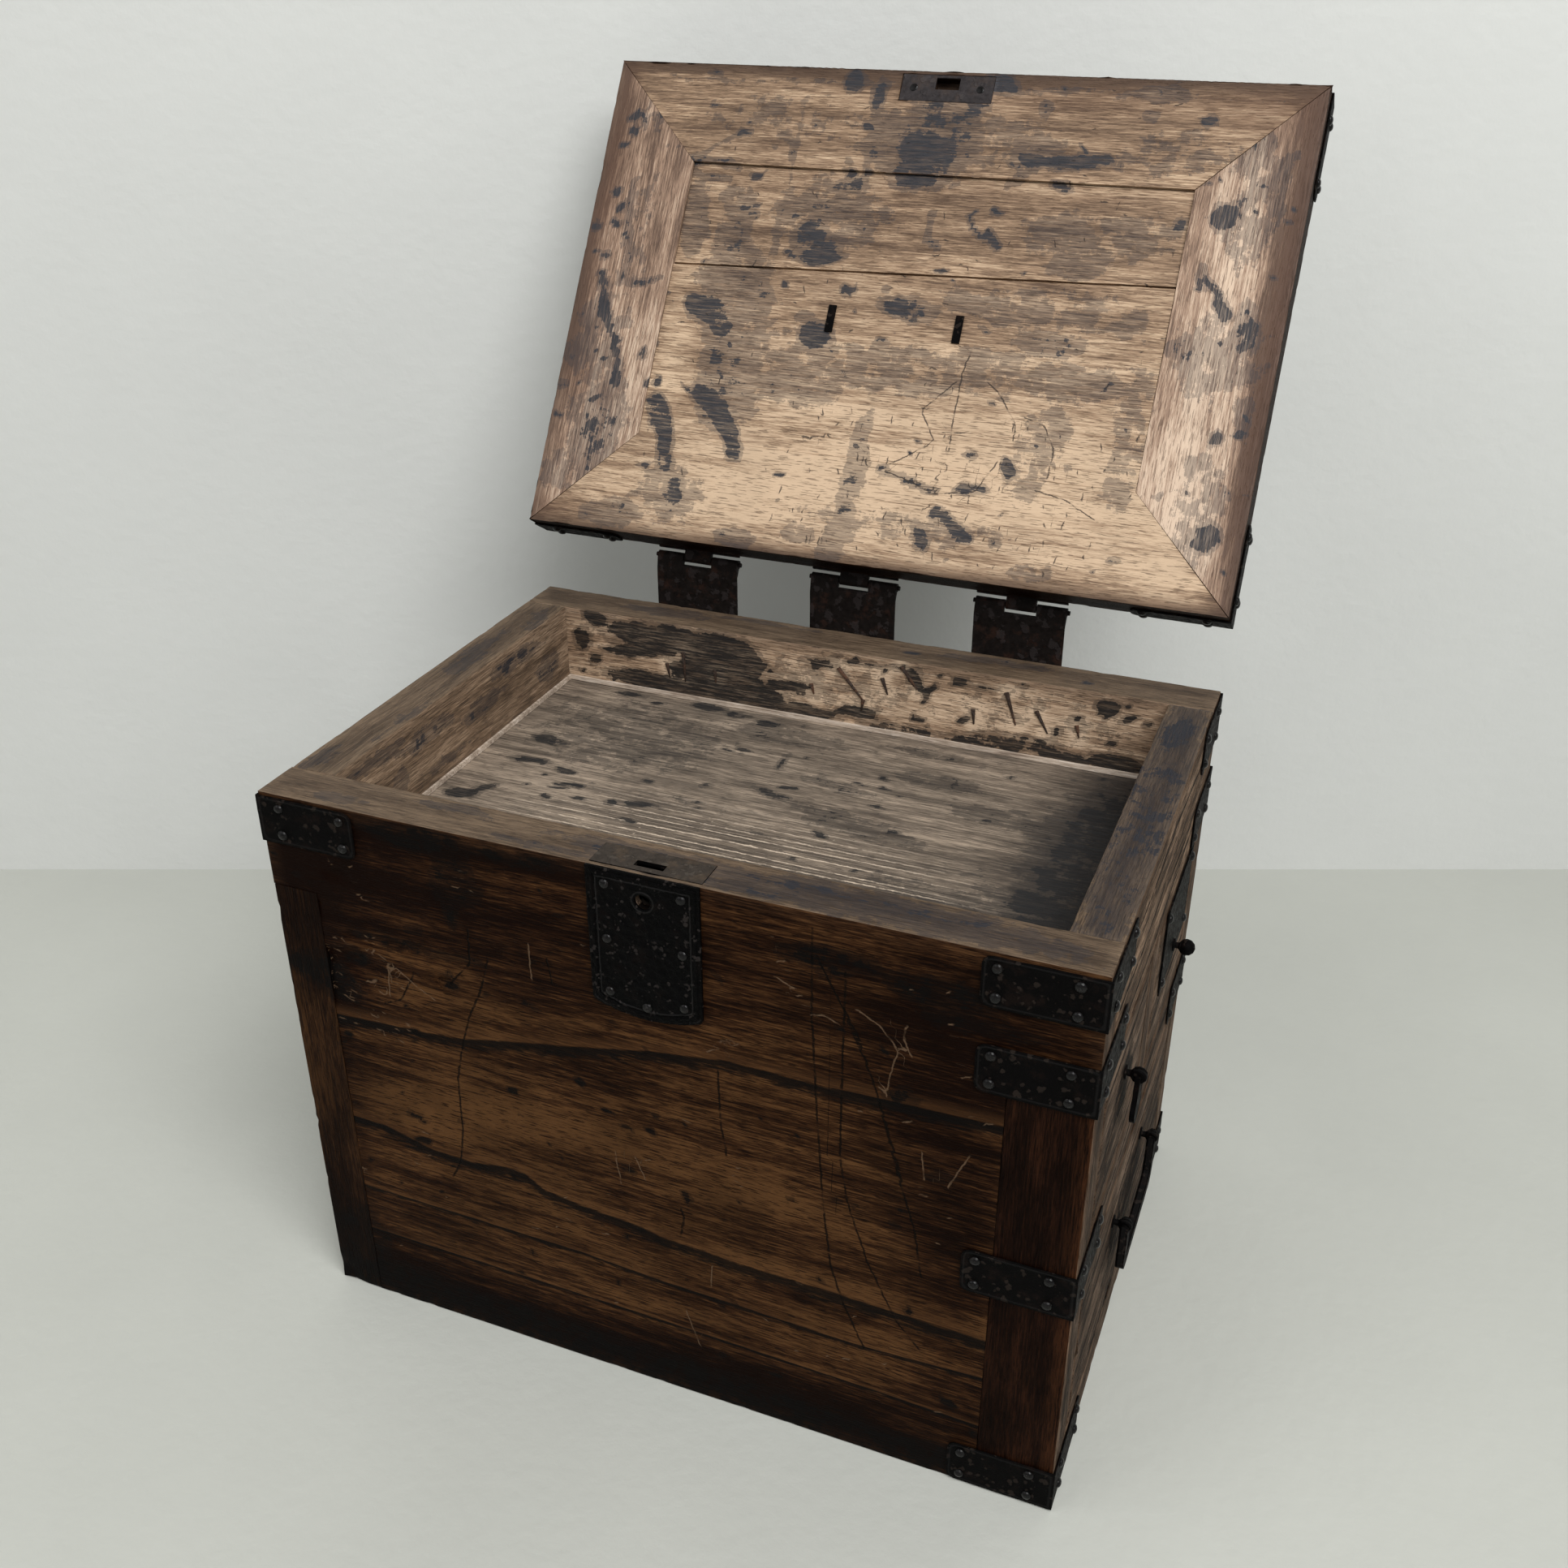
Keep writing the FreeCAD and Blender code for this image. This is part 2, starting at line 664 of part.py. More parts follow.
def lid_nails():
    low = LID_TOP - LID_STRAP_HEIGHT
    front_right = strap_nails(LID_FRONT, low, LID_STRAP_HEIGHT, LID_STRAP_SPREAD)
    back_right = [
        flipped(head, Y_AXIS)
        for head in strap_nails(-LID_BACK, low, LID_STRAP_HEIGHT, LID_STRAP_SPREAD)]
    right = front_right + back_right
    heads = right + [flipped(head, X_AXIS) for head in right]
    catch_y = LID_FRONT + CATCH_SETBACK + CATCH_DEPTH / 2
    for x in lock_limits(CATCH_NAIL_SPACING):
        heads.append(nail(x, catch_y, LID_UNDER, -Z_AXIS, FLAT))
    for x in HINGE_PLACES:
        for side in (-1, 1):
            for along in (LEAF_NAIL_INSET, LID_LEAF - LEAF_NAIL_INSET):
                heads.append(nail(
                    x + side * (HALF_LEAF - LEAF_NAIL_INSET),
                    LID_BACK - along,
                    LID_TOP + LEAF_THICK,
                    Z_AXIS))
    return [opened(head) for head in heads]


def body_nails():
    """Heads in the carcass straps, the lock plate and the body leaves of the hinges."""
    heads = []
    for low in strap_levels():
        right = strap_nails(FRONT, low, STRAP_HEIGHT, STRAP_NAIL_SPREAD)
        heads += right + [flipped(head, Y_AXIS) for head in right]
    left = [
        flipped(head, X_AXIS)
        for head in strap_nails(FRONT, strap_levels()[0], STRAP_HEIGHT, STRAP_NAIL_SPREAD)]
    heads += left + [flipped(head, Y_AXIS) for head in left]
    for x, z in lock_nail_places():
        heads.append(nail(x, FRONT - PLATE_THICK, z, -Y_AXIS))
    for x in HINGE_PLACES:
        for side in (-1, 1):
            for along in (LEAF_NAIL_INSET, BODY_LEAF - LEAF_NAIL_INSET):
                heads.append(nail(
                    x + side * (HALF_LEAF - LEAF_NAIL_INSET),
                    BACK + LEAF_THICK,
                    RIM - along,
                    Y_AXIS))
    return heads


# ---- lid lock ------------------------------------------------------------------------

def lock_nail_places():
    """Three pairs down the lock plate's sides and one nail in its bulge."""
    half = LOCK_PLATE_WIDTH / 2 - LOCK_NAIL_INSET
    high = RIM - LOCK_NAIL_TOP
    low = RIM - LOCK_PLATE_HEIGHT + LOCK_PLATE_SAG + LOCK_NAIL_LOW
    pairs = [
        (LOCK_X + side * half, z)
        for z in (high, (high + low) / 2, low)
        for side in (-1, 1)]
    return pairs + [(LOCK_X, RIM - LOCK_PLATE_HEIGHT + LOCK_NAIL_TIP)]


def lock_plate_outline(inset):
    """Square-topped outline with a bulging lower edge, set in by a margin."""
    half = LOCK_PLATE_WIDTH / 2 - inset
    high = RIM - inset
    shoulder = RIM - LOCK_PLATE_HEIGHT + LOCK_PLATE_SAG + inset
    lowest = RIM - LOCK_PLATE_HEIGHT + inset
    left_low = Vec(LOCK_X - half, FRONT, shoulder)
    left_high = Vec(LOCK_X - half, FRONT, high)
    right_high = Vec(LOCK_X + half, FRONT, high)
    right_low = Vec(LOCK_X + half, FRONT, shoulder)
    bulge = Part.Arc(right_low, Vec(LOCK_X, FRONT, lowest), left_low)
    return Part.Wire([
        Part.LineSegment(left_low, left_high).toShape(),
        Part.LineSegment(left_high, right_high).toShape(),
        Part.LineSegment(right_high, right_low).toShape(),
        bulge.toShape()])


def lock_slab(inset, thick):
    """Slab on the front face within the plate's outline, its lower corners rounded."""
    slab_shape = Part.Face(lock_plate_outline(inset)).extrude(Vec(0, -thick, 0))
    lower_half = RIM - LOCK_PLATE_HEIGHT / 2
    corners = [e for e in edges_along(slab_shape, "Y") if e.BoundBox.ZMax < lower_half]
    return slab_shape.makeFillet(LOCK_CORNER, corners)


def lock_plate():
    """Front plate with a raised line just inside its edge and a round keyhole."""
    proud = PLATE_THICK + LOCK_BORDER_PROUD
    line = lock_slab(LOCK_BORDER_INSET, proud)
    inside = lock_slab(LOCK_BORDER_INSET + LOCK_BORDER, proud)
    plate = lock_slab(0, PLATE_THICK).fuse(line.cut(inside)).removeSplitter()
    return plate.cut(keyhole(FRONT - 2 * PLATE_THICK, FRONT))


def lock_case():
    """Case let into the front board, and its slotted plate flush in the rim."""
    top = RIM - RIM_PLATE_THICK
    plate = block(
        lock_limits(RIM_PLATE_WIDTH),
        (FRONT + RIM_PLATE_SETBACK, FRONT + RIM_PLATE_SETBACK + RIM_PLATE_DEPTH),
        (top, RIM))
    y_front = FRONT + CASE_SETBACK
    case = block(
        lock_limits(CASE_WIDTH), (y_front, y_front + CASE_DEPTH), (top - CASE_HEIGHT, top))
    room = block(
        lock_limits(CASE_WIDTH - 2 * CASE_WALL),
        (y_front + CASE_WALL, y_front + CASE_DEPTH - CASE_WALL),
        (top - CASE_HEIGHT + CASE_WALL, top))
    slot = block(
        lock_limits(RIM_SLOT_LENGTH),
        (BOLT_Y - RIM_SLOT_WIDTH / 2, BOLT_Y + RIM_SLOT_WIDTH / 2),
        (top, RIM))
    return case.cut(room).fuse(plate).cut([slot, keyhole(y_front, y_front + CASE_WALL)])


def lock_bolt():
    """Bolt with a broad foot, standing in the case below the rim's slot."""
    foot_low = RIM - RIM_PLATE_THICK - CASE_HEIGHT + CASE_WALL + BOLT_FOOT_GAP
    y = (BOLT_Y - BOLT_THICK / 2, BOLT_Y + BOLT_THICK / 2)
    foot = block(lock_limits(BOLT_FOOT_WIDTH), y, (foot_low, foot_low + BOLT_FOOT_HEIGHT))
    stem = block(lock_limits(BOLT_WIDTH), y, (foot_low, RIM - BOLT_DROP))
    return foot.fuse(stem).removeSplitter()


def catch_plate():
    """Slotted plate let into the lid's underside above the lock."""
    plate = block(
        lock_limits(CATCH_WIDTH),
        (LID_FRONT + CATCH_SETBACK, LID_FRONT + CATCH_SETBACK + CATCH_DEPTH),
        (LID_UNDER, LID_UNDER + CATCH_THICK))
    slot = block(
        lock_limits(CATCH_SLOT_LENGTH),
        (BOLT_Y - CATCH_SLOT_WIDTH / 2, BOLT_Y + CATCH_SLOT_WIDTH / 2),
        (LID_UNDER, LID_UNDER + CATCH_THICK))
    return opened(plate.cut(slot))


# ---- pulls ---------------------------------------------------------------------------

def post(board, standoff, head):
    """Round-headed post pointing along +X from a face at x = 0, clinched behind the board."""
    profile = [
        (SHANK_RADIUS, -board),
        (SHANK_RADIUS, 0),
        (COLLAR_RADIUS, 0),
        (COLLAR_RADIUS - COLLAR_THICK / 2, COLLAR_THICK),
        (NECK_RADIUS, COLLAR_THICK)]
    first = math.degrees(math.acos(NECK_RADIUS / head))
    for step in range(HEAD_STEPS):
        angle = math.radians(-first + (first + 90) * step / HEAD_STEPS)
        profile.append((head * math.cos(angle), standoff + head * math.sin(angle)))
    profile.append((0, standoff + head))
    shape = forged(profile, POST_SIDES).rotated(MIDDLE, Y_AXIS, 90)
    tongue = block(
        (-board - TONGUE_THICK, -board),
        (-TONGUE_WIDTH / 2, TONGUE_WIDTH / 2),
        (-TONGUE_LENGTH, SHANK_RADIUS))
    return shape.fuse(tongue)


def eye_width(head):
    """Width across the flats of a head that a fork swings on."""
    return 1.1 * head


def eye_post(board, standoff, head):
    """Post whose head is flattened on both sides and bored across for a pin along Y."""
    half = eye_width(head) / 2
    big = standoff + 2 * head
    shape = post(board, standoff, head)
    for side in (-1, 1):
        y = (half, big) if side > 0 else (-big, -half)
        shape = shape.cut(block((COLLAR_THICK, big), y, (-big, big)))
    cross = rod(CROSS_PIN + PIN_CLEARANCE, Vec(standoff, -big, 0), Vec(standoff, big, 0))
    return shape.cut(cross)


def fork_cut(head, y):
    """Room for an eye between a fork's ears, at one place along the axis."""
    half = eye_width(head) / 2 + SWING_GAP
    radius = head + SWING_GAP
    round_room = rod(radius, Vec(0, y - half, 0), Vec(0, y + half, 0))
    above = block((-radius, radius), (y - half, y + half), (0, 2 * radius))
    return round_room.fuse(above)


def cross_pin(head, y, ear):
    """Pin across a fork, ending flush with its ears."""
    half = eye_width(head) / 2 + SWING_GAP + ear
    return rod(CROSS_PIN, Vec(0, y - half, 0), Vec(0, y + half, 0))


def bail(spacing, drop, bar, thick, head):
    """Hanging bail, axis along Y through the origin, a fork on each post."""
    reach = spacing / 2 + bar / 2
    inner = spacing / 2 - bar / 2
    bottom = -drop
    top = thick / 2
    outer_round = 1.2 * bar
    hoop = block((-thick / 2, thick / 2), (-reach, reach), (bottom, top))
    lower = [e for e in edges_along(hoop, "X") if abs(e.BoundBox.ZMin - bottom) < 1e-4]
    hoop = hoop.makeFillet(outer_round, lower)
    hollow = block((-thick, thick), (-inner, inner), (bottom + bar, drop))
    hollow_low = [
        e for e in edges_along(hollow, "X") if abs(e.BoundBox.ZMin - bottom - bar) < 1e-4]
    hollow = hollow.makeFillet(0.5 * bar, hollow_low)
    hoop = hoop.cut(hollow)
    upper = [e for e in edges_along(hoop, "Y") if abs(e.BoundBox.ZMax - top) < 1e-4]
    hoop = hoop.makeChamfer(EAR_CORNER * thick, upper)
    pins = []
    for y in (-spacing / 2, spacing / 2):
        hoop = hoop.cut(fork_cut(head, y))
        pins.append(cross_pin(head, y, (bar - eye_width(head)) / 2 - SWING_GAP))
    return hoop.fuse(pins).removeSplitter()


def drop_leaf():
    """Leaf-shaped drop on a fork, axis along Y through the origin."""
    half_eye = eye_width(DROP_PULL_HEAD) / 2 + SWING_GAP + EAR_THICK
    root = -DROP_PULL_HEAD - SWING_GAP - EAR_THICK
    half = DROP_WIDTH / 2
    widest = -0.62 * DROP_LENGTH
    face = -DROP_THICK / 2
    neck_left = Vec(face, -half_eye, root)
    neck_right = Vec(face, half_eye, root)
    top_left = Vec(face, -half_eye, DROP_THICK / 2)
    top_right = Vec(face, half_eye, DROP_THICK / 2)
    side_left = Vec(face, -half, widest)
    side_right = Vec(face, half, widest)
    tip = Vec(face, 0, -DROP_LENGTH)
    curve_left = Vec(face, -0.78 * half, 0.62 * widest + 0.38 * root)
    curve_right = Vec(face, 0.78 * half, 0.62 * widest + 0.38 * root)
    belly_left = Vec(face, -0.66 * half, -0.88 * DROP_LENGTH)
    belly_right = Vec(face, 0.66 * half, -0.88 * DROP_LENGTH)
    outline = Part.Wire([
        Part.LineSegment(top_left, neck_left).toShape(),
        Part.Arc(neck_left, curve_left, side_left).toShape(),
        Part.Arc(side_left, belly_left, tip).toShape(),
        Part.Arc(tip, belly_right, side_right).toShape(),
        Part.Arc(side_right, curve_right, neck_right).toShape(),
        Part.LineSegment(neck_right, top_right).toShape(),
        Part.LineSegment(top_right, top_left).toShape()])
    drop = Part.Face(outline).extrude(Vec(DROP_THICK, 0, 0))
    drop = drop.cut(fork_cut(DROP_PULL_HEAD, 0))
    return drop.fuse(cross_pin(DROP_PULL_HEAD, 0, EAR_THICK)).removeSplitter()


LOWER_PULL_Z = LOWER_LOW + LOWER_PULL_RISE
DROP_PULL_Z = UPPER_LOW + DROP_PULL_RISE
KNOB_Z = UPPER_LOW + KNOB_RISE
LID_PULL_Y = LID_BACK - LID_PULL_BACK

FRONT_DRAWER = Drawer(FRONT_IN, -STILE_HALF, UPPER_LOW, UPPER_HIGH)
BACK_DRAWER = Drawer(STILE_HALF, BACK_IN, UPPER_LOW, UPPER_HIGH)
LOWER_DRAWER = Drawer(FRONT_IN, BACK_IN, LOWER_LOW, LOWER_HIGH)


def lower_bail_posts():
    posts = []
    for y in (-LOWER_PULL_SPACING / 2, LOWER_PULL_SPACING / 2):
        shape = eye_post(DRAWER_FRONT_THICK, LOWER_PULL_STANDOFF, LOWER_PULL_HEAD)
        posts.append(shape.translated(Vec(RIGHT, y, LOWER_PULL_Z)))
    return posts


def lower_bail():
    shape = bail(
        LOWER_PULL_SPACING, LOWER_PULL_DROP + LOWER_BAR / 2, LOWER_BAR, LOWER_BAR_THICK,
        LOWER_PULL_HEAD)
    return shape.translated(Vec(RIGHT + LOWER_PULL_STANDOFF, 0, LOWER_PULL_Z))


def drop_pull_post():
    shape = eye_post(DRAWER_FRONT_THICK, DROP_PULL_STANDOFF, DROP_PULL_HEAD)
    return shape.translated(Vec(RIGHT, FRONT_DRAWER.y_middle, DROP_PULL_Z))


def drop_pull():
    place = Vec(RIGHT + DROP_PULL_STANDOFF, FRONT_DRAWER.y_middle, DROP_PULL_Z)
    return drop_leaf().translated(place)


def lid_bail_posts():
    """Posts of the carrying handle, clinched on the lid's underside."""
    board = LID_THICK - BACK_PANEL_RECESS
    posts = []
    for x in lid_pull_places():
        shape = eye_post(board, LID_PULL_STANDOFF, LID_PULL_HEAD)
        shape = shape.rotated(MIDDLE, Z_AXIS, 90).rotated(MIDDLE, X_AXIS, 90)
        posts.append(opened(shape.translated(Vec(x, LID_PULL_Y, LID_TOP))))
    return posts


def lid_bail():
    """Carrying handle, hanging plumb from its posts while the lid stands open."""
    shape = bail(
        LID_PULL_SPACING, LID_PULL_DROP + LID_BAR / 2, LID_BAR, LID_BAR_THICK, LID_PULL_HEAD)
    shape = shape.rotated(MIDDLE, Z_AXIS, 90)
    axis = opened(Part.Vertex(LID_PULL_X, LID_PULL_Y, LID_TOP + LID_PULL_STANDOFF)).Point
    return shape.translated(axis)


def drawer_lock_plate():
    """Plain plate on the back drawer, bored for the knob's shank."""
    y = BACK_DRAWER.y_middle
    top = BACK_DRAWER.z[1]
    plate = block(
        (RIGHT, RIGHT + PLATE_THICK),
        (y - DRAWER_PLATE_WIDTH / 2, y + DRAWER_PLATE_WIDTH / 2),
        (top - DRAWER_PLATE_HEIGHT, top))
    shank = rod(
        SHANK_RADIUS + SHANK_CLEARANCE, Vec(RIGHT, y, KNOB_Z), Vec(RIGHT + PLATE_THICK, y, KNOB_Z))
    return plate.cut(shank)


def drawer_knob():
    """Ball knob, seated on the plate and clinched behind the drawer front."""
    shape = post(DRAWER_FRONT_THICK + PLATE_THICK, KNOB_STANDOFF, KNOB_RADIUS)
    return shape.translated(Vec(RIGHT + PLATE_THICK, BACK_DRAWER.y_middle, KNOB_Z))


DRAWER_NAIL_INSET = 6.0


def drawer_nails():
    y = BACK_DRAWER.y_middle
    top = BACK_DRAWER.z[1]
    half = DRAWER_PLATE_WIDTH / 2 - DRAWER_NAIL_INSET
    return [
        nail(RIGHT + PLATE_THICK, y + side * half, z, X_AXIS)
        for side in (-1, 1)
        for z in (top - DRAWER_NAIL_INSET, top - DRAWER_PLATE_HEIGHT + DRAWER_NAIL_INSET)]


# ---- the whole chest -----------------------------------------------------------------

def chest():
    """Every node's name with its shape, or with a list of separate solids."""
    nodes = {
        "front_board": front_board(),
        "back_board": back_board(),
        "left_side_board": left_side_board(),
        "front_post": front_post(),
        "back_post": flipped(front_post(), Y_AXIS),
        "top_rail": end_rail(UPPER_HIGH, RIM),
        "middle_rail": end_rail(LOWER_HIGH, UPPER_LOW),
        "bottom_rail": end_rail(0, LOWER_LOW),
        "centre_stile": centre_stile(),
        "bottom_board": inner_board(0, LOWER_LOW),
        "drawer_shelf": inner_board(UPPER_LOW - SHELF_THICK, UPPER_LOW),
        "drawer_partition": drawer_partition(),
        "drawer_guides": drawer_guides(),
        "tray_floor": inner_board(TRAY_UNDER, TRAY_TOP),
        "tray_bead": tray_bead(),
        "lid_front_rail": lid_front_rail(),
        "lid_back_rail": lid_back_rail(),
        "lid_left_stile": lid_stile(LEFT, LEFT + LID_FRAME),
        "lid_right_stile": lid_stile(RIGHT, RIGHT - LID_FRAME),
        "lid_front_panel": lid_front_panel(),
        "lid_back_panel": lid_back_panel(),
        "hinge_body_leaves": [body_leaf(x) for x in HINGE_PLACES],
        "hinge_lid_leaves": [lid_leaf(x) for x in HINGE_PLACES],
        "hinge_pins": [hinge_pin(x) for x in HINGE_PLACES],
        "lock_plate": lock_plate(),
        "lock_case": lock_case(),
        "lock_bolt": lock_bolt(),
        "catch_plate": catch_plate(),
        "lid_corner_straps": lid_straps(),
        "lid_nails": lid_nails(),
        "body_nails": body_nails(),
        "drawer_lock_plate": drawer_lock_plate(),
        "drawer_knob": drawer_knob(),
        "drawer_nails": drawer_nails(),
        "lower_bail": lower_bail(),
        "lower_bail_posts": lower_bail_posts(),
        "drop_pull": drop_pull(),
        "drop_pull_post": drop_pull_post(),
        "lid_bail": lid_bail(),
        "lid_bail_posts": lid_bail_posts()}

    right_straps = [corner_strap(FRONT, low, STRAP_HEIGHT) for low in strap_levels()]
    for number, strap in enumerate(right_straps, 1):
        nodes["strap_front_right_%d" % number] = strap
    nodes["straps_back_right"] = [flipped(strap, Y_AXIS) for strap in right_straps]
    nodes["strap_front_left"] = flipped(right_straps[0], X_AXIS)
    nodes["strap_back_left"] = flipped(nodes["strap_front_left"], Y_AXIS)

    bail_shanks = [
        (side * LOWER_PULL_SPACING / 2, LOWER_PULL_Z) for side in (-1, 1)]
    drawers = {
        "front_drawer": (FRONT_DRAWER, [(FRONT_DRAWER.y_middle, DROP_PULL_Z)]),
        "back_drawer": (BACK_DRAWER, [(BACK_DRAWER.y_middle, KNOB_Z)]),
        "lower_drawer": (LOWER_DRAWER, bail_shanks)}
    for name, (drawer, shank_places) in drawers.items():
        nodes[name + "_front"] = drawer.front(shank_places)
        nodes[name + "_sides"] = drawer.sides()
        nodes[name + "_back"] = drawer.back()
        nodes[name + "_bottom"] = drawer.bottom()
    return nodes


os.makedirs("parts", exist_ok=True)
for node, shape in chest().items():
    solids = shape if isinstance(shape, list) else [shape]
    if len(solids) > 1:
        Part.makeCompound(solids).exportStep("parts/%s.step" % node)
    else:
        solids[0].exportStep("parts/%s.step" % node)
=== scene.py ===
import json
import math

import bmesh
import bpy
import numpy as np
from mathutils import Euler, Matrix, Vector, noise
from mathutils.kdtree import KDTree


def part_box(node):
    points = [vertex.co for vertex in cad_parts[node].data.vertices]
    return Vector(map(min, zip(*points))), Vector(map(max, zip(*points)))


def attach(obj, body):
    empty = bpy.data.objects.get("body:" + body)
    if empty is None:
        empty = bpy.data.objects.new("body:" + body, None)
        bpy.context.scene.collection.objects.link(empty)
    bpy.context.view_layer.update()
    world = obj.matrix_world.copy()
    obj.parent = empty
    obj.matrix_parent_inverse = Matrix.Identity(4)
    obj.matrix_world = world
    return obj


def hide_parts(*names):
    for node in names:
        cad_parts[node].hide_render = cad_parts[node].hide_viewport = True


# Looks of the ship chest: worn boards, soot and ink stains, forged ironwork.
# Metres in the part's frame.  Marks on a board are given in millimetres on that board.

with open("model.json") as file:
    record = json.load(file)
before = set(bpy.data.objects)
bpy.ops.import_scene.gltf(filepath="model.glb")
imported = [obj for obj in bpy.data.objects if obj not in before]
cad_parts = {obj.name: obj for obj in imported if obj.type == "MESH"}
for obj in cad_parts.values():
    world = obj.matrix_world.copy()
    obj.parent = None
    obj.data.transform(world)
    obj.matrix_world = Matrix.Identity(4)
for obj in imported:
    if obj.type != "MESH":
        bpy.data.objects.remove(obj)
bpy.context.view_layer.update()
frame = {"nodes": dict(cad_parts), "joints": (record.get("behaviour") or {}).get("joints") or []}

MM = 0.001
X_AXIS = Vector((1, 0, 0))
Y_AXIS = Vector((0, 1, 0))
Z_AXIS = Vector((0, 0, 1))

# ---- places taken from the frame ------------------------------------------------------

BODY_LOW = Vector((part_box("left_side_board")[0].x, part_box("front_board")[0].y, 0))
BODY_HIGH = Vector((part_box("front_board")[1].x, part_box("back_board")[1].y,
                    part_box("front_board")[1].z))
TRAY_LOW, TRAY_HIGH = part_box("tray_floor")
HINGE = next(joint for joint in frame["joints"] if joint["name"] == "lid_hinge")
HINGE_POINT = Vector(HINGE["pos_m"])
LID_ANGLE = math.radians(HINGE["range_deg"][1])


def about_hinge(angle):
    """Turn about the lid's hinge line."""
    turn = Matrix.Rotation(angle, 4, "X")
    return Matrix.Translation(HINGE_POINT) @ turn @ Matrix.Translation(-HINGE_POINT)


SHUT = about_hinge(LID_ANGLE)        # from the open lid to the shut one
OPEN = about_hinge(-LID_ANGLE)


def shut_points(node):
    """Points of a lid node in the place that it has when the lid is shut."""
    return np.array([SHUT @ vertex.co for vertex in frame["nodes"][node].data.vertices])


FRONT_RAIL = shut_points("lid_front_rail")
LID_FRONT = FRONT_RAIL[:, 1].min()
LID_BACK = shut_points("lid_back_rail")[:, 1].max()
LID_MIDDLE = (FRONT_RAIL[:, 2].min() + FRONT_RAIL[:, 2].max()) / 2
LID_NAIL_LEVEL = HINGE_POINT.z - 6 * MM     # nails above it are on the lid's top
CHEST_MIDDLE = Vector((0, 0, 0.18))
DRAWERS = ("front_drawer", "back_drawer", "lower_drawer")
# How far past the tray's floor, and how far under it, a face still counts as in the tray
WALL_LAP = 8 * MM
UNDER_TRAY = 20 * MM
RIM_BAND = 3 * MM                    # faces this near to the body's top count as its rim

# ---- sizes of the wear ----------------------------------------------------------------

FINE_CELL = 2.5 * MM                 # mesh of the boards with the finest painted marks
BACK_CELL = 3.2 * MM
END_CELL = 4 * MM
RAIL_CELL = 5 * MM
PLAIN_CELL = 7 * MM
EASE = 1.0 * MM                      # rounding of a board's outer arris
LID_EASE = 0.3 * MM
JOINT_EASE = 0.15 * MM               # rounding where boards meet
EDGE_NEAR = 2.5 * MM                 # how near to the outside an edge counts as worn
BOARD_STEPS = 3                      # faces across the rounding of a board's arris
IRON_STEPS = 2
BROAD_DENT = 0.45 * MM               # slow hollows of a hand-planed face
ARRIS_NICK = 0.4 * MM                # deepest nick out of an arris
LID_NICK = 0.7 * MM
END_NICK = 0.8 * MM
DRAWER_NICK = 1.0 * MM
CHEW_DEPTH = 3.0 * MM                # how much of a chewed edge is gone
FADE = 9 * MM                        # width of the rubbed strip beside an arris
MARK_EDGE = 0.28                     # how softly a mark ends, as a share of its size
LINE_REACH = 7.0                     # millimetres over which a thin line is looked for
RIDGE_DEPTH = 0.8 * MM               # how far the tray's floor is worn down
RIDGE_STRETCH = 40                   # length of a ridge in widths
RIDGE_ROOM = 1.2 * MM                # the ridged floor is thinner than its solid by this
PLATE_FACE = 0.8 * MM                # how far behind its front the lock plate is pitted
PIT_DEPTH = 0.8 * MM
TIP_ROOT = 1.5 * MM                  # radii of a clinched nail tip
TIP_POINT = 0.5 * MM
TIP_SINK = 0.1 * MM                  # how far its middle line lies inside the wall


# ======================================================================================
# Modelling
# ======================================================================================

def choose(piece):
    """Only this piece selected and active."""
    bpy.ops.object.select_all(action="DESELECT")
    piece.hide_set(False)
    piece.select_set(True)
    bpy.context.view_layer.objects.active = piece


def edit(piece):
    """Edit mode with all of the piece selected."""
    choose(piece)
    bpy.ops.object.mode_set(mode="EDIT")
    bpy.ops.mesh.select_all(action="SELECT")


def leave_edit():
    bpy.ops.object.mode_set(mode="OBJECT")


def apply_modifier(piece, kind, **settings):
    modifier = piece.modifiers.new(kind.lower(), kind)
    for name, value in settings.items():
        setattr(modifier, name, value)
    choose(piece)
    bpy.ops.object.modifier_apply(modifier=modifier.name)


def joined(pieces, name):
    """Several pieces made one."""
    bpy.ops.object.select_all(action="DESELECT")
    for piece in pieces:
        piece.select_set(True)
    bpy.context.view_layer.objects.active = pieces[0]
    bpy.ops.object.join()
    pieces[0].name = name
    return pieces[0]


def cover(piece, finish):
    """One finish all over."""
    piece.data.materials.clear()
    piece.data.materials.append(finish)


def points_of(piece):
    return np.array([vertex.co for vertex in piece.data.vertices])


def finished(piece, body, *nodes):
    """The piece rides on its body and stands for these CAD nodes."""
    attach(piece, body)
    if nodes:
        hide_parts(*nodes)


def cloud(name, size, contrast=1.0, brightness=1.0):
    """Soft noise that pushes a surface in and out."""
    texture = bpy.data.textures.new(name, "CLOUDS")
    texture.noise_scale = size
    texture.noise_depth = 2
    texture.contrast = contrast
    texture.intensity = brightness
    texture.use_clamp = True
    return texture


def dots(name, size):
    """Noise of rounded cells, as on pitted iron."""
    texture = bpy.data.textures.new(name, "VORONOI")
    texture.noise_scale = size
    texture.distance_metric = "DISTANCE"
    return texture


BROAD_NOISE = cloud("broad hollows", 70 * MM)
NICK_NOISE = cloud("nicks", 13 * MM, contrast=5.0, brightness=0.12)
CHEW_NOISE = cloud("chewed edge", 24 * MM, contrast=1.8, brightness=0.9)
HAMMER_NOISE = cloud("hammer marks", 7 * MM)
PIT_NOISE = dots("pits", 3.4 * MM)


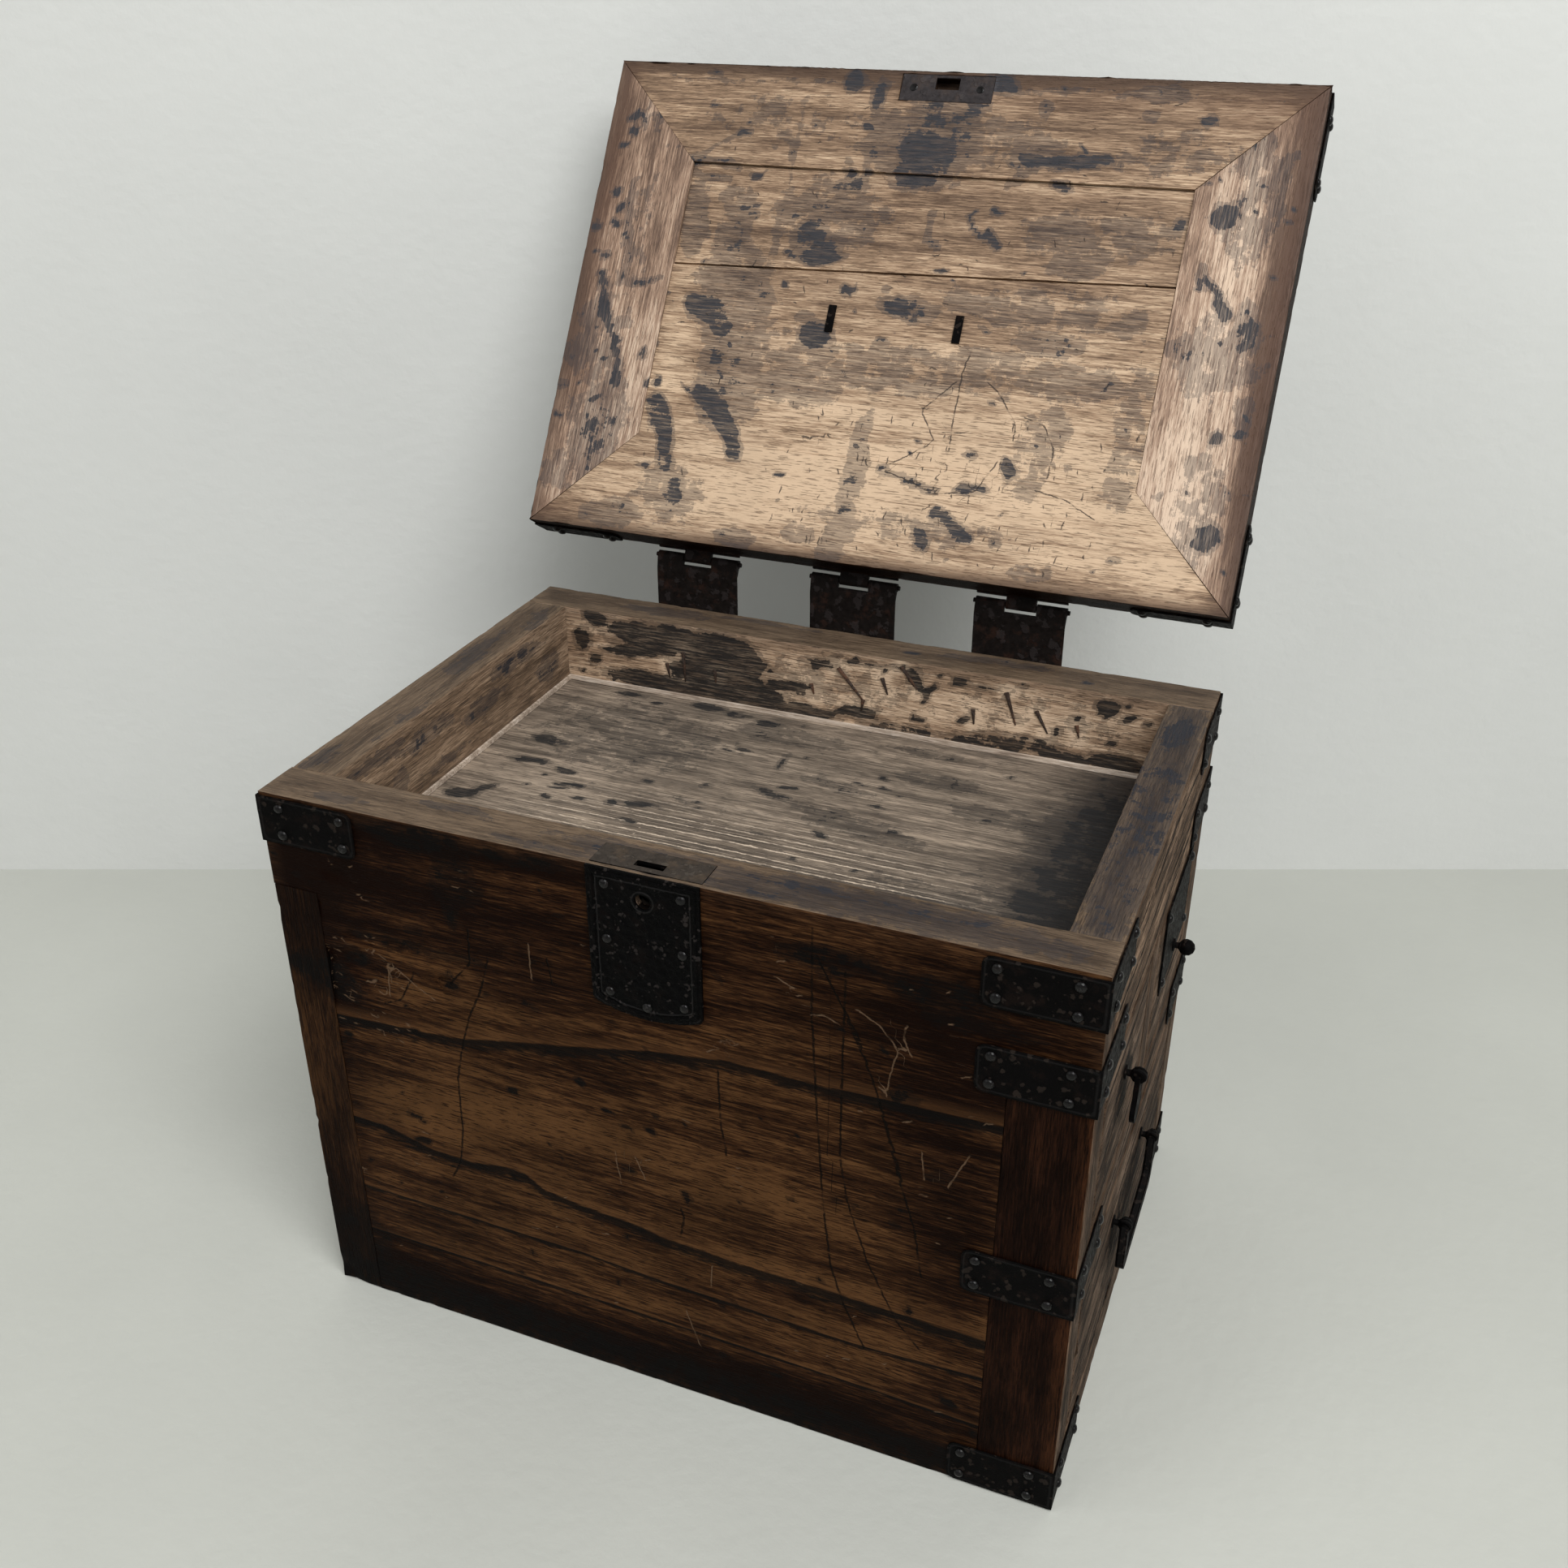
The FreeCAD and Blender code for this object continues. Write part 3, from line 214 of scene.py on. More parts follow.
def copy_of(node, name):
    """Clean copy of a CAD node's mesh: doubles merged and flat faces made whole."""
    piece = bpy.data.objects.new(name, frame["nodes"][node].data.copy())
    bpy.context.collection.objects.link(piece)
    piece.data.materials.clear()
    choose(piece)
    bpy.ops.mesh.customdata_custom_splitnormals_clear()
    edit(piece)
    bpy.ops.mesh.remove_doubles(threshold=0.01 * MM)
    bpy.ops.mesh.dissolve_limited(angle_limit=math.radians(1))
    leave_edit()
    return piece


def cut_into_cells(piece, cell):
    """Cuts a mesh by evenly spaced planes across each side of three cells or more."""
    points = points_of(piece)
    low = points.min(0)
    side = points.max(0) - low
    edit(piece)
    for axis in range(3):
        count = int(side[axis] / cell)
        for step in range(1, count if count > 2 else 0):
            place = [0, 0, 0]
            normal = [0, 0, 0]
            place[axis] = low[axis] + side[axis] * step / count
            normal[axis] = 1
            bpy.ops.mesh.select_all(action="SELECT")
            bpy.ops.mesh.bisect(plane_co=place, plane_no=normal)
    leave_edit()


def ease_iron(piece, width):
    """Rounds the sharp edges; the new faces carry material 1."""
    piece.data.materials.append(None)
    piece.data.materials.append(None)
    apply_modifier(piece, "BEVEL", width=width, segments=IRON_STEPS, limit_method="ANGLE",
                   angle_limit=math.radians(35), material=1)


def ease_board(piece, width, on_lid):
    """Rounds the board's outer arrises well, and its edges in the joints hardly."""
    piece.data.materials.append(None)
    piece.data.materials.append(None)
    outer = [vertex.index for vertex in piece.data.vertices if outermost(vertex.co, on_lid)]
    piece.vertex_groups.new(name="outer").add(outer, 1.0, "REPLACE")
    apply_modifier(piece, "BEVEL", width=width, segments=BOARD_STEPS, limit_method="VGROUP",
                   vertex_group="outer", material=1)
    apply_modifier(piece, "BEVEL", width=JOINT_EASE, segments=1, limit_method="ANGLE",
                   angle_limit=math.radians(50))


def outermost(point, on_lid):
    """True at the lid's outer edges as it lies shut, or at the body's ends, rim and foot."""
    if point.x < BODY_LOW.x + EDGE_NEAR or point.x > BODY_HIGH.x - EDGE_NEAR:
        return True
    if on_lid:
        return point.y < LID_FRONT + EDGE_NEAR or point.y > LID_BACK - EDGE_NEAR
    return point.z > BODY_HIGH.z - EDGE_NEAR or point.z < EDGE_NEAR


def mark_arrises(piece, on_lid=False, everywhere=True):
    """Weights 1 on the rounded edges, and an attribute that fades out beside them."""
    mesh = piece.data
    rounded = {i for face in mesh.polygons if face.material_index == 1 for i in face.vertices
               if everywhere or outermost(mesh.vertices[i].co, on_lid)}
    piece.vertex_groups.new(name="arris").add(list(rounded), 1.0, "REPLACE")
    tree = KDTree(max(1, len(rounded)))
    for i in rounded:
        tree.insert(mesh.vertices[i].co, i)
    tree.balance()
    rubbed = np.zeros(len(mesh.vertices))
    if rounded:
        for vertex in mesh.vertices:
            rubbed[vertex.index] = max(0.0, 1 - tree.find(vertex.co)[2] / FADE)
    write_attribute(piece, "rubbed", rubbed)


def write_attribute(piece, attribute, value):
    data = piece.data.attributes.new(attribute, "FLOAT", "POINT")
    data.data.foreach_set("value", value)


def dent(piece, texture, depth, group=""):
    """Pushes the surface inward by up to a depth, all over or where a vertex group says."""
    apply_modifier(piece, "DISPLACE", texture=texture, strength=-depth, mid_level=0.0,
                   direction="NORMAL", vertex_group=group)


REST = 0.6                           # a face is the rest where it agrees less with each direction


def dress(piece, faces):
    """Gives each face the finish whose direction it looks in; None stands for the rest."""
    mesh = piece.data
    mesh.materials.clear()
    finishes = []
    for _, finish in faces:
        if finish not in finishes:
            finishes.append(finish)
            mesh.materials.append(finish)
    for face in mesh.polygons:
        best = max(faces, key=lambda entry: REST if entry[0] is None else face.normal.dot(entry[0]))
        face.material_index = finishes.index(best[1])


def smooth(piece, angle=40):
    choose(piece)
    bpy.ops.object.shade_smooth_by_angle(angle=math.radians(angle))


def worn_board(node, body, faces, marks, cell=PLAIN_CELL, ease=EASE, nick=ARRIS_NICK):
    """A board as use has left it, in place of its CAD node.

    marks is a function that paints the board, given the piece as it lies when shut."""
    on_lid = body == "lid"
    piece = copy_of(node, node + "_worn")
    if on_lid:
        piece.data.transform(SHUT)
    ease_board(piece, ease, on_lid)
    cut_into_cells(piece, cell)
    mark_arrises(piece, on_lid, everywhere=False)
    dress(piece, faces)
    marks(piece)
    dent(piece, BROAD_NOISE, BROAD_DENT)
    dent(piece, NICK_NOISE, nick, "arris")
    if on_lid:
        piece.data.transform(OPEN)
    smooth(piece)
    finished(piece, body, node)


# ---- marks on a board -----------------------------------------------------------------
# A blot is (across, up, half length, half height, turn in degrees, strength), a stroke is
# ([points], half width, strength).  Both are in millimetres, as one looks at the board.

def seen_from_front(points):
    return points[:, 0] / MM, points[:, 2] / MM


def seen_from_above(points):
    return points[:, 0] / MM, points[:, 1] / MM


def seen_under_lid(points):
    """Underside of the open lid, its front edge at the top."""
    return points[:, 0] / MM, -points[:, 1] / MM


def seen_from_right(points):
    return points[:, 1] / MM, points[:, 2] / MM


noise.seed_set(47)                   # marks wander alike in every run


def wandered(across, up):
    """Places moved by slow noise, so that the outline of a mark wanders."""
    shift = np.zeros((len(across), 2))
    for size, reach in ((22, 5.0), (7, 2.2)):
        for row, (x, y) in enumerate(zip(across / size, up / size)):
            drift = noise.noise_vector((x, y, size))
            shift[row] += (reach * drift.x, 0.6 * reach * drift.y)
    return across + shift[:, 0], up + shift[:, 1]


def ease_off(reach):
    """1 well inside a mark, 0 well outside, falling over the mark's edge."""
    return np.clip((1 + MARK_EDGE - reach) / (2 * MARK_EDGE), 0, 1)


def gap_to_line(across, up, start, end):
    """Distance from a stretch of line, signed by side, and the share of the way along."""
    run_x, run_y = end[0] - start[0], end[1] - start[1]
    x, y = across - start[0], up - start[1]
    share = (x * run_x + y * run_y) / (run_x ** 2 + run_y ** 2)
    along = np.clip(share, 0, 1)
    gap = np.hypot(x - along * run_x, y - along * run_y)
    return np.where(run_x * y - run_y * x > 0, gap, -gap), share


def strength_of(entries, across, up):
    """Strongest of the blots and strokes at each place."""
    value = np.zeros(len(across))
    for entry in entries:
        if len(entry) == 3:
            route, half_width, strength = entry
            for start, end in zip(route, route[1:]):
                gap, _ = gap_to_line(across, up, start, end)
                value = np.maximum(value, strength * ease_off(np.abs(gap) / half_width))
        else:
            x, y, half_length, half_height, turn, strength = entry
            cosine = math.cos(math.radians(turn))
            sine = math.sin(math.radians(turn))
            along = ((across - x) * cosine + (up - y) * sine) / half_length
            beside = ((up - y) * cosine - (across - x) * sine) / half_height
            value = np.maximum(value, strength * ease_off(np.hypot(along, beside)))
    return value


def specks(seed, count, low, high, size):
    """Small ink spots scattered over an area, the finest ones the most."""
    chance = np.random.default_rng(seed)
    spots = []
    for _ in range(count):
        reach = size * chance.uniform(0.3, 1) ** 2
        place = chance.uniform(low, high)
        half_length = reach * chance.uniform(1, 2.6)
        turn = chance.uniform(-30, 30)
        spots.append((*place, half_length, reach, turn, chance.uniform(0.6, 1.2)))
    return spots


def scuffs(seed, count, low, high, upright=False):
    """Short scratches scattered over an area, along it or upright."""
    chance = np.random.default_rng(seed)
    strokes = []
    for _ in range(count):
        x, y = chance.uniform(low, high)
        length, slope = chance.uniform(1, 5), chance.uniform(-0.5, 0.5)
        if upright:
            strokes.append([(x, y), (x + slope * length, y + length)])
        else:
            strokes.append([(x, y), (x + length, y + slope * length)])
    return strokes


def paint(piece, attribute, entries, view):
    """Stains with a wandering outline."""
    across, up = wandered(*view(points_of(piece)))
    write_attribute(piece, attribute, strength_of(entries, across, up))


def tint(piece, attribute, entries, view):
    """Sum of wide soft patches that lighten (or darken) the wood."""
    across, up = view(points_of(piece))
    value = np.zeros(len(across))
    for x, y, half_length, half_height, strength in entries:
        reach = ((across - x) / half_length) ** 2 + ((up - y) / half_height) ** 2
        value += strength * np.exp(-reach)
    write_attribute(piece, attribute, value)


def rule_lines(piece, attribute, routes, view):
    """Distance in millimetres to the nearest of some thin lines, and where it counts.

    Lines that cross belong in different attributes."""
    across, up = view(points_of(piece))
    nearest = np.full(len(across), 1e6)
    weight = np.zeros(len(across))
    for route in routes:
        for start, end in zip(route, route[1:]):
            gap, share = gap_to_line(across, up, start, end)
            closer = np.abs(gap) < np.abs(nearest)
            nearest = np.where(closer, gap, nearest)
            first, last = start is route[0], end is route[-1]
            past = ((share < 0) & first) | ((share > 1) & last)
            weight = np.where(closer, ~past & (np.abs(gap) < LINE_REACH), weight)
    write_attribute(piece, attribute, np.clip(nearest, -LINE_REACH, LINE_REACH))
    write_attribute(piece, attribute + " weight", weight)


def rule_seam(piece, attribute, thickness, route):
    """Height above a seam's upper edge, in thicknesses of the seam."""
    across, up = seen_from_front(points_of(piece))
    level = np.interp(across, [x for x, _ in route], [z for _, z in route])
    write_attribute(piece, attribute, np.clip((up - level) / thickness, -5, 5))


def chewed_spots(piece, entries):
    """Chips and eroded patches of the front, pressed into the mesh."""
    across, up = seen_from_front(points_of(piece))
    value = strength_of(entries, across, up)
    group = piece.vertex_groups.new(name="spots")
    for index in np.nonzero(value)[0]:
        group.add([int(index)], float(value[index]), "REPLACE")
    dent(piece, CHEW_NOISE, CHEW_DEPTH, "spots")


# ======================================================================================
# Finishes
# ======================================================================================

class Finish:
    """Lays out the nodes of one material or shader group."""

    def __init__(self, tree):
        self.tree = tree

    def node(self, kind, inputs=None, **settings):
        made = self.tree.nodes.new("ShaderNode" + kind)
        count = len(self.tree.nodes)
        made.location = (200 * (count % 12), -260 * (count // 12))
        for name, value in settings.items():
            setattr(made, name, value)
        for key, value in (inputs or {}).items():
            self.feed(made.inputs[key], value)
        return made

    def feed(self, socket, value):
        """Sets a socket, or links it where the value is another node's output."""
        if isinstance(value, bpy.types.NodeSocket):
            self.tree.links.new(value, socket)
        else:
            socket.default_value = value

    def math(self, operation, a, b=0.0):
        return self.node("Math", {0: a, 1: b}, operation=operation).outputs[0]

    def vector(self, operation, a, b):
        return self.node("VectorMath", {0: a, 1: b}, operation=operation).outputs["Vector"]

    def step(self, value, low, high, to_low=0.0, to_high=1.0):
        """Smooth step of a value between two limits."""
        inputs = {"Value": value, "From Min": low, "From Max": high,
                  "To Min": to_low, "To Max": to_high}
        return self.node("MapRange", inputs, interpolation_type="SMOOTHSTEP").outputs[0]

    def blend(self, share, under, over):
        """Colour over colour by a share."""
        made = self.node("Mix", {0: share, 6: under, 7: over}, data_type="RGBA")
        return made.outputs[2]

    def ramp(self, value, *stops):
        """Colours at places from 0 to 1."""
        made = self.node("ValToRGB", {0: value})
        elements = made.color_ramp.elements
        elements[0].position, elements[0].color = stops[0][0], (*stops[0][1], 1)
        elements[1].position, elements[1].color = stops[-1][0], (*stops[-1][1], 1)
        for place, colour in stops[1:-1]:
            elements.new(place).color = (*colour, 1)
        return made.outputs[0]

    def noise(self, vector, scale, detail=2.0, roughness=0.5):
        inputs = {"Vector": vector, "Scale": scale, "Detail": detail, "Roughness": roughness}
        return self.node("TexNoise", inputs).outputs[0]

    def attribute(self, name):
        return self.node("Attribute", attribute_name=name).outputs["Fac"]

    def group(self, tree, **inputs):
        made = self.node("Group", node_tree=tree)
        for name, value in inputs.items():
            self.feed(made.inputs[name.replace("_", " ")], value)
        return made.outputs


def new_group(name, inputs, outputs):
    """Empty shader group; inputs are (name, type, default) and outputs are names."""
    tree = bpy.data.node_groups.new(name, "ShaderNodeTree")
    for label, kind, default in inputs:
        socket = tree.interface.new_socket(label, in_out="INPUT", socket_type="NodeSocket" + kind)
        socket.default_value = default
    for label in outputs:
        tree.interface.new_socket(label, in_out="OUTPUT", socket_type="NodeSocketFloat")
    start = tree.nodes.new("NodeGroupInput")
    end = tree.nodes.new("NodeGroupOutput")
    return tree, Finish(tree), start.outputs, end.inputs


def timber_group():
    """Wood figure in millimetres, its grain along X: streaks, slow bands, pores, blotches."""
    tree, make, given, result = new_group(
        "Timber",
        [("Vector", "Vector", (0, 0, 0)), ("Streak", "Float", 1.0), ("Wander", "Float", 6.0)],
        ["Streaks", "Bands", "Pores", "Blotches"])
    slow = make.vector("MULTIPLY", given["Vector"], (0.25, 1.0, 1.0))
    sway = make.math("MULTIPLY", make.math("SUBTRACT", make.noise(slow, 0.014), 0.5), given["Wander"])
    shift = make.node("CombineXYZ", {"Y": sway, "Z": sway}).outputs[0]
    swayed = make.vector("ADD", given["Vector"], shift)
    fineness = make.math("DIVIDE", 1.0, given["Streak"])
    thin = make.node("VectorMath", {0: swayed, 3: fineness}, operation="SCALE").outputs[0]
    coarse = make.noise(make.vector("MULTIPLY", thin, (0.035, 1.0, 1.0)), 0.22, 3.0, 0.6)
    fibres = make.noise(make.vector("MULTIPLY", thin, (0.05, 1.0, 1.0)), 0.95, 3.0, 0.8)
    streaks = make.math("ADD", make.math("MULTIPLY", coarse, 0.25), make.math("MULTIPLY", fibres, 0.75))
    bands = make.noise(make.vector("MULTIPLY", swayed, (0.012, 0.10, 0.10)), 1.0, 3.0, 0.55)
    pores = make.noise(make.vector("MULTIPLY", thin, (0.10, 1.2, 1.2)), 1.0, 2.0)
    make.feed(result["Streaks"], streaks)
    make.feed(result["Bands"], make.step(bands, 0.3, 0.7))
    make.feed(result["Pores"], make.step(pores, 0.58, 0.66))
    clouded = make.noise(given["Vector"], 0.022, 5.0, 0.65)
    make.feed(result["Blotches"], make.step(clouded, 0.40, 0.66))
    return tree


def stain_group():
    """Painted stain, also used for painted shade: a thin wash and, where it is strong, dark ink, frayed
    along the grain.
    """
    tree, make, given, result = new_group(
        "Stain",
        [("Paint", "Float", 0.0), ("Vector", "Vector", (0, 0, 0)), ("Fray", "Float", 0.5)],
        ["Density"])
    along = make.noise(make.vector("MULTIPLY", given["Vector"], (0.06, 0.9, 0.9)), 1.0, 4.0, 0.70)
    coarse = make.noise(given["Vector"], 0.09, 6.0, 0.72)
    rag = make.math("ADD", make.math("MULTIPLY", along, 0.45), make.math("MULTIPLY", coarse, 1.7))
    rag = make.math("SUBTRACT", rag, 1.075)
    level = make.math("ADD", given["Paint"], make.math("MULTIPLY", rag, given["Fray"]))
    grain = make.step(along, 0.36, 0.56, 0.50, 1.0)
    wash = make.math("MULTIPLY", make.math("MULTIPLY", make.step(level, 0.28, 0.34), 0.50), grain)
    ink = make.math("MULTIPLY", make.step(level, 0.67, 0.74), 0.48)
    make.feed(result["Density"], make.math("ADD", wash, ink))
    return tree


def line_group():
    """Thin line, from the painted distance to it."""
    tree, make, given, result = new_group(
        "Ruled line",
        [("Gap", "Float", 9.0), ("Weight", "Float", 0.0), ("Width", "Float", 0.5),
         ("Vector", "Vector", (0, 0, 0))],
        ["Mask"])
    uneven = make.noise(given["Vector"], 0.22, 4.0, 0.7)
    drift = make.math("MULTIPLY", make.math("SUBTRACT", uneven, 0.5), 2.4)
    shaken = make.math("ADD", given["Gap"], drift)
    near = make.math("DIVIDE", make.math("ABSOLUTE", shaken), given["Width"])
    line = make.step(near, 0.35, 1.0, 1.0, 0.0)
    kept = make.step(make.noise(given["Vector"], 0.12, 3.0, 0.6), 0.36, 0.50, 0.25, 1.0)
    line = make.math("MULTIPLY", line, kept)
    make.feed(result["Mask"], make.math("MULTIPLY", line, make.step(given["Weight"], 0.2, 0.9)))
    return tree


def seam_group():
    """Dark growth seam in timber: crisp above, ragged below, with a pale lip over it."""
    tree, make, given, result = new_group(
        "Seam",
        [("Level", "Float", 5.0), ("Vector", "Vector", (0, 0, 0))],
        ["Mask", "Lip"])
    fibre = make.noise(make.vector("MULTIPLY", given["Vector"], (0.10, 0.8, 0.8)), 1.0, 4.0, 0.65)
    rag = make.math("SUBTRACT", fibre, 0.5)
    ragged = make.math("ADD", given["Level"], make.math("MULTIPLY", rag, 3.2))
    crisp = make.math("ADD", given["Level"], make.math("MULTIPLY", rag, 0.5))
    below = make.step(ragged, -1.3, -0.55)
    above = make.step(crisp, -0.08, 0.10, 1.0, 0.0)
    make.feed(result["Mask"], make.math("MULTIPLY", below, above))
    rises = make.step(given["Level"], 0.0, 0.12)
    falls = make.step(given["Level"], 0.2, 1.5, 1.0, 0.0)
    make.feed(result["Lip"], make.math("MULTIPLY", rises, falls))
    return tree


def iron_group():
    """Surface of old iron in millimetres: round lumps of old skin (also the mask of painted glints),
    grit, rust, uneven sheen.
    """
    tree, make, given, result = new_group(
        "Pitted iron",
        [("Vector", "Vector", (0, 0, 0)), ("Pit", "Float", 3.0), ("Spread", "Float", 0.5)],
        ["Lumps", "Relief", "Rust", "Sheen"])
    drift = make.node("TexNoise", {"Vector": given["Vector"], "Scale": 0.5}).outputs["Color"]
    bent = make.vector("ADD", given["Vector"], drift)
    fineness = make.math("DIVIDE", 1.0, given["Pit"])
    cells = make.node("TexVoronoi", {"Vector": bent, "Scale": fineness}).outputs["Distance"]
    patch = make.math("SUBTRACT", make.noise(given["Vector"], 0.16, 3.0, 0.6), given["Spread"])
    reach = make.math("ADD", 0.30, make.math("MULTIPLY", patch, 2.2))
    lumps = make.step(make.math("SUBTRACT", cells, reach), -0.10, 0.06, 1.0, 0.0)
    fine = make.noise(given["Vector"], 0.9, 4.0, 0.65)
    make.feed(result["Lumps"], lumps)
    make.feed(result["Relief"], make.math("ADD", lumps, make.math("MULTIPLY", fine, 0.8)))
    clouded = make.noise(given["Vector"], 0.09, 5.0, 0.7)
    make.feed(result["Rust"], make.step(clouded, 0.50, 0.66))
    make.feed(result["Sheen"], make.noise(given["Vector"], 0.35, 4.0, 0.6))
    return tree


TIMBER = timber_group()
STAIN = stain_group()
LINE = line_group()
SEAM = seam_group()
IRON = iron_group()

# Turns that lay a board's grain along X
GRAIN = {"x": (0, 0, 0), "y": (0, 0, math.radians(-90)), "z": (0, math.radians(90), 0)}


class Surface(Finish):
    """A material that is laid down layer by layer and then closed."""

    def __init__(self, name, turn=(0, 0, 0), on_lid=False):
        self.material = bpy.data.materials.new(name)
        self.material.use_nodes = True
        super().__init__(self.material.node_tree)
        self.tree.nodes.clear()
        inputs = {0: self.node("TexCoord").outputs["Object"], "Scale": (1 / MM, 1 / MM, 1 / MM)}
        if on_lid:
            inputs["Location"] = SHUT.to_translation() / MM
            inputs["Rotation"] = tuple(SHUT.to_euler())
        self.place = self.node("Mapping", inputs).outputs[0]
        self.along = self.node("Mapping", {0: self.place, "Rotation": turn}).outputs[0]

    def layer(self, mask, colour, share=1.0):
        """Lays a colour over what is there."""
        amount = self.math("MULTIPLY", mask, share)
        self.colour = self.blend(amount, self.colour, (*colour, 1))

    def carve(self, mask, depth):
        """Lowers the surface by a share of the relief."""
        self.height = self.math("SUBTRACT", self.height, self.math("MULTIPLY", mask, depth))

    def closed(self, relief, specular=0.5):
        """The shader itself, with its bump."""
        bump = self.node("Bump", {"Height": self.height, "Distance": relief * MM})
        shader = self.node("BsdfPrincipled", {
            "Base Color": self.colour, "Roughness": self.rough, "Normal": bump.outputs[0]})
        shader.inputs["Specular IOR Level"].default_value = specular
        output = self.node("OutputMaterial")
        self.tree.links.new(shader.outputs[0], output.inputs["Surface"])
        return self.material


class Wood(Surface):
    """Old timber; shades are the dark, middle and light tones of its grain."""

    def __init__(self, name, grain, shades, streak=1.0, wander=6.0, grime=0.4, pores=0.5,
                 contrast=1.2, rough=0.6, tinted=None, on_lid=False):
        super().__init__(name, GRAIN[grain], on_lid)
        figure = self.group(TIMBER, Vector=self.along, Streak=streak, Wander=wander)
        self.streaks = figure["Streaks"]
        tone = self.math("ADD", self.math("MULTIPLY", figure["Streaks"], 0.88),
                         self.math("MULTIPLY", figure["Bands"], 0.12))
        if tinted:
            tone = self.math("ADD", tone, self.attribute(tinted))
        dark, middle, light = shades
        spread = 0.17 / contrast
        self.colour = self.ramp(tone, (0.5 - spread, dark), (0.5, middle), (0.5 + spread, light))
        self.layer(figure["Pores"], dark, pores)
        self.layer(figure["Blotches"], [0.5 * part for part in dark], grime)
        self.height = self.math("SUBTRACT", figure["Streaks"],
                                self.math("MULTIPLY", figure["Pores"], 0.5))
        self.rough = self.step(figure["Streaks"], 0.2, 0.8, rough - 0.12, rough + 0.14)

    def rubbed(self, colour, share):
        """Arrises worn through to another tone."""
        edge = self.math("MULTIPLY", self.attribute("rubbed"), self.step(self.streaks, 0.35, 0.6))
        self.layer(edge, colour, share)

    def stained(self, colour, attribute="soot", fray=1.0):
        """Stains painted with paint; on the front board and the tray's floor they hold painted shade as
        well.
        """
        painted = self.attribute(attribute)
        density = self.group(STAIN, Paint=painted, Vector=self.along, Fray=fray)[0]
        self.layer(density, colour)

    def ruled(self, attribute, colour, width, share=0.85, depth=1.0):
        """Scratches or cracks painted with rule_lines."""
        mask = self.group(LINE, Gap=self.attribute(attribute),
                          Weight=self.attribute(attribute + " weight"), Width=width,
                          Vector=self.place)[0]
        self.layer(mask, colour, share)
        self.carve(mask, depth)

    def seamed(self, attribute, colour, lip):
        """A growth seam painted with rule_seam."""
        made = self.group(SEAM, Level=self.attribute(attribute), Vector=self.along)
        self.layer(made["Lip"], lip, 0.315)
        self.layer(made["Mask"], colour, 0.9)
        self.carve(made["Mask"], 0.6)


# Painted highlight along the bent-down border of a strap or plate
BORDER_HIGHLIGHT = (0.075, 0.072, 0.070)


def iron(name, pit, spread, dark, rough, rust=(0.012, 0.0070, 0.0055), rust_share=0.5,
         worn=(0.075, 0.068, 0.064), worn_and_glint_share=0.3, relief=0.3, specular=0.05, line=0.0):
    """Black lacquered iron with dull rust patches and paler lumps, which are worn skin and painted glints
    at once.

    pit is the size of a lump in millimetres, and line is how strongly the bent-down border shows beside
    the outline, as a painted highlight along it and a slight bump."""
    made = Surface(name)
    face = made.group(IRON, Vector=made.place, Pit=pit, Spread=spread)
    made.colour = made.ramp(face["Sheen"], (0.3, [0.5 * part for part in dark]), (0.7, dark))
    made.layer(face["Rust"], rust, rust_share)
    # Paler lumps: worn skin, and painted glints on the raised spots
    made.layer(face["Lumps"], worn, worn_and_glint_share)
    made.rough = made.step(face["Sheen"], 0.3, 0.7, rough - 0.12, rough + 0.15)
    made.height = face["Relief"]
    if line:
        # The border beside the outline, lit by a painted highlight and lifted a little by the bump
        beside = made.attribute("rubbed")
        inner = made.step(beside, 0.76, 0.84)
        outer = made.step(beside, 0.88, 0.95, 1.0, 0.0)
        border = made.math("MULTIPLY", inner, outer)
        made.layer(border, BORDER_HIGHLIGHT, line)
        made.carve(border, -1.5)
    return made.closed(relief, specular)


# ======================================================================================
# Boards
# ======================================================================================

SOOT = (0.021, 0.0225, 0.029)
BLACK = (0.009, 0.008, 0.008)
CHAR = (0.004, 0.0033, 0.003)
# Dark ink of the tray's floor, also the colour of its painted shadow at the right end
FLOOR_INK_AND_SHADOW = (0.011, 0.0115, 0.013)
RUDDY = (0.085, 0.036, 0.018)
SEAM_LIP = (0.11, 0.050, 0.020)
CUT_DARK = (0.003, 0.0025, 0.002)
CUT_PALE = (0.16, 0.10, 0.06)
LID_CUT = (0.03, 0.022, 0.018)
BARE_RING = (0.66, 0.54, 0.42)
# Arrises where the wood is rubbed
WORN_DARK = (0.075, 0.038, 0.020)
WORN_RIM = (0.20, 0.14, 0.09)
WORN_POST = (0.075, 0.028, 0.011)
WORN_END = (0.11, 0.060, 0.032)
WORN_WALL = (0.08, 0.055, 0.038)
WORN_END_WALL = (0.26, 0.18, 0.12)
WORN_LID = (0.040, 0.020, 0.012)
OLD_WAX = 0.025                      # specular level of old, dull wax

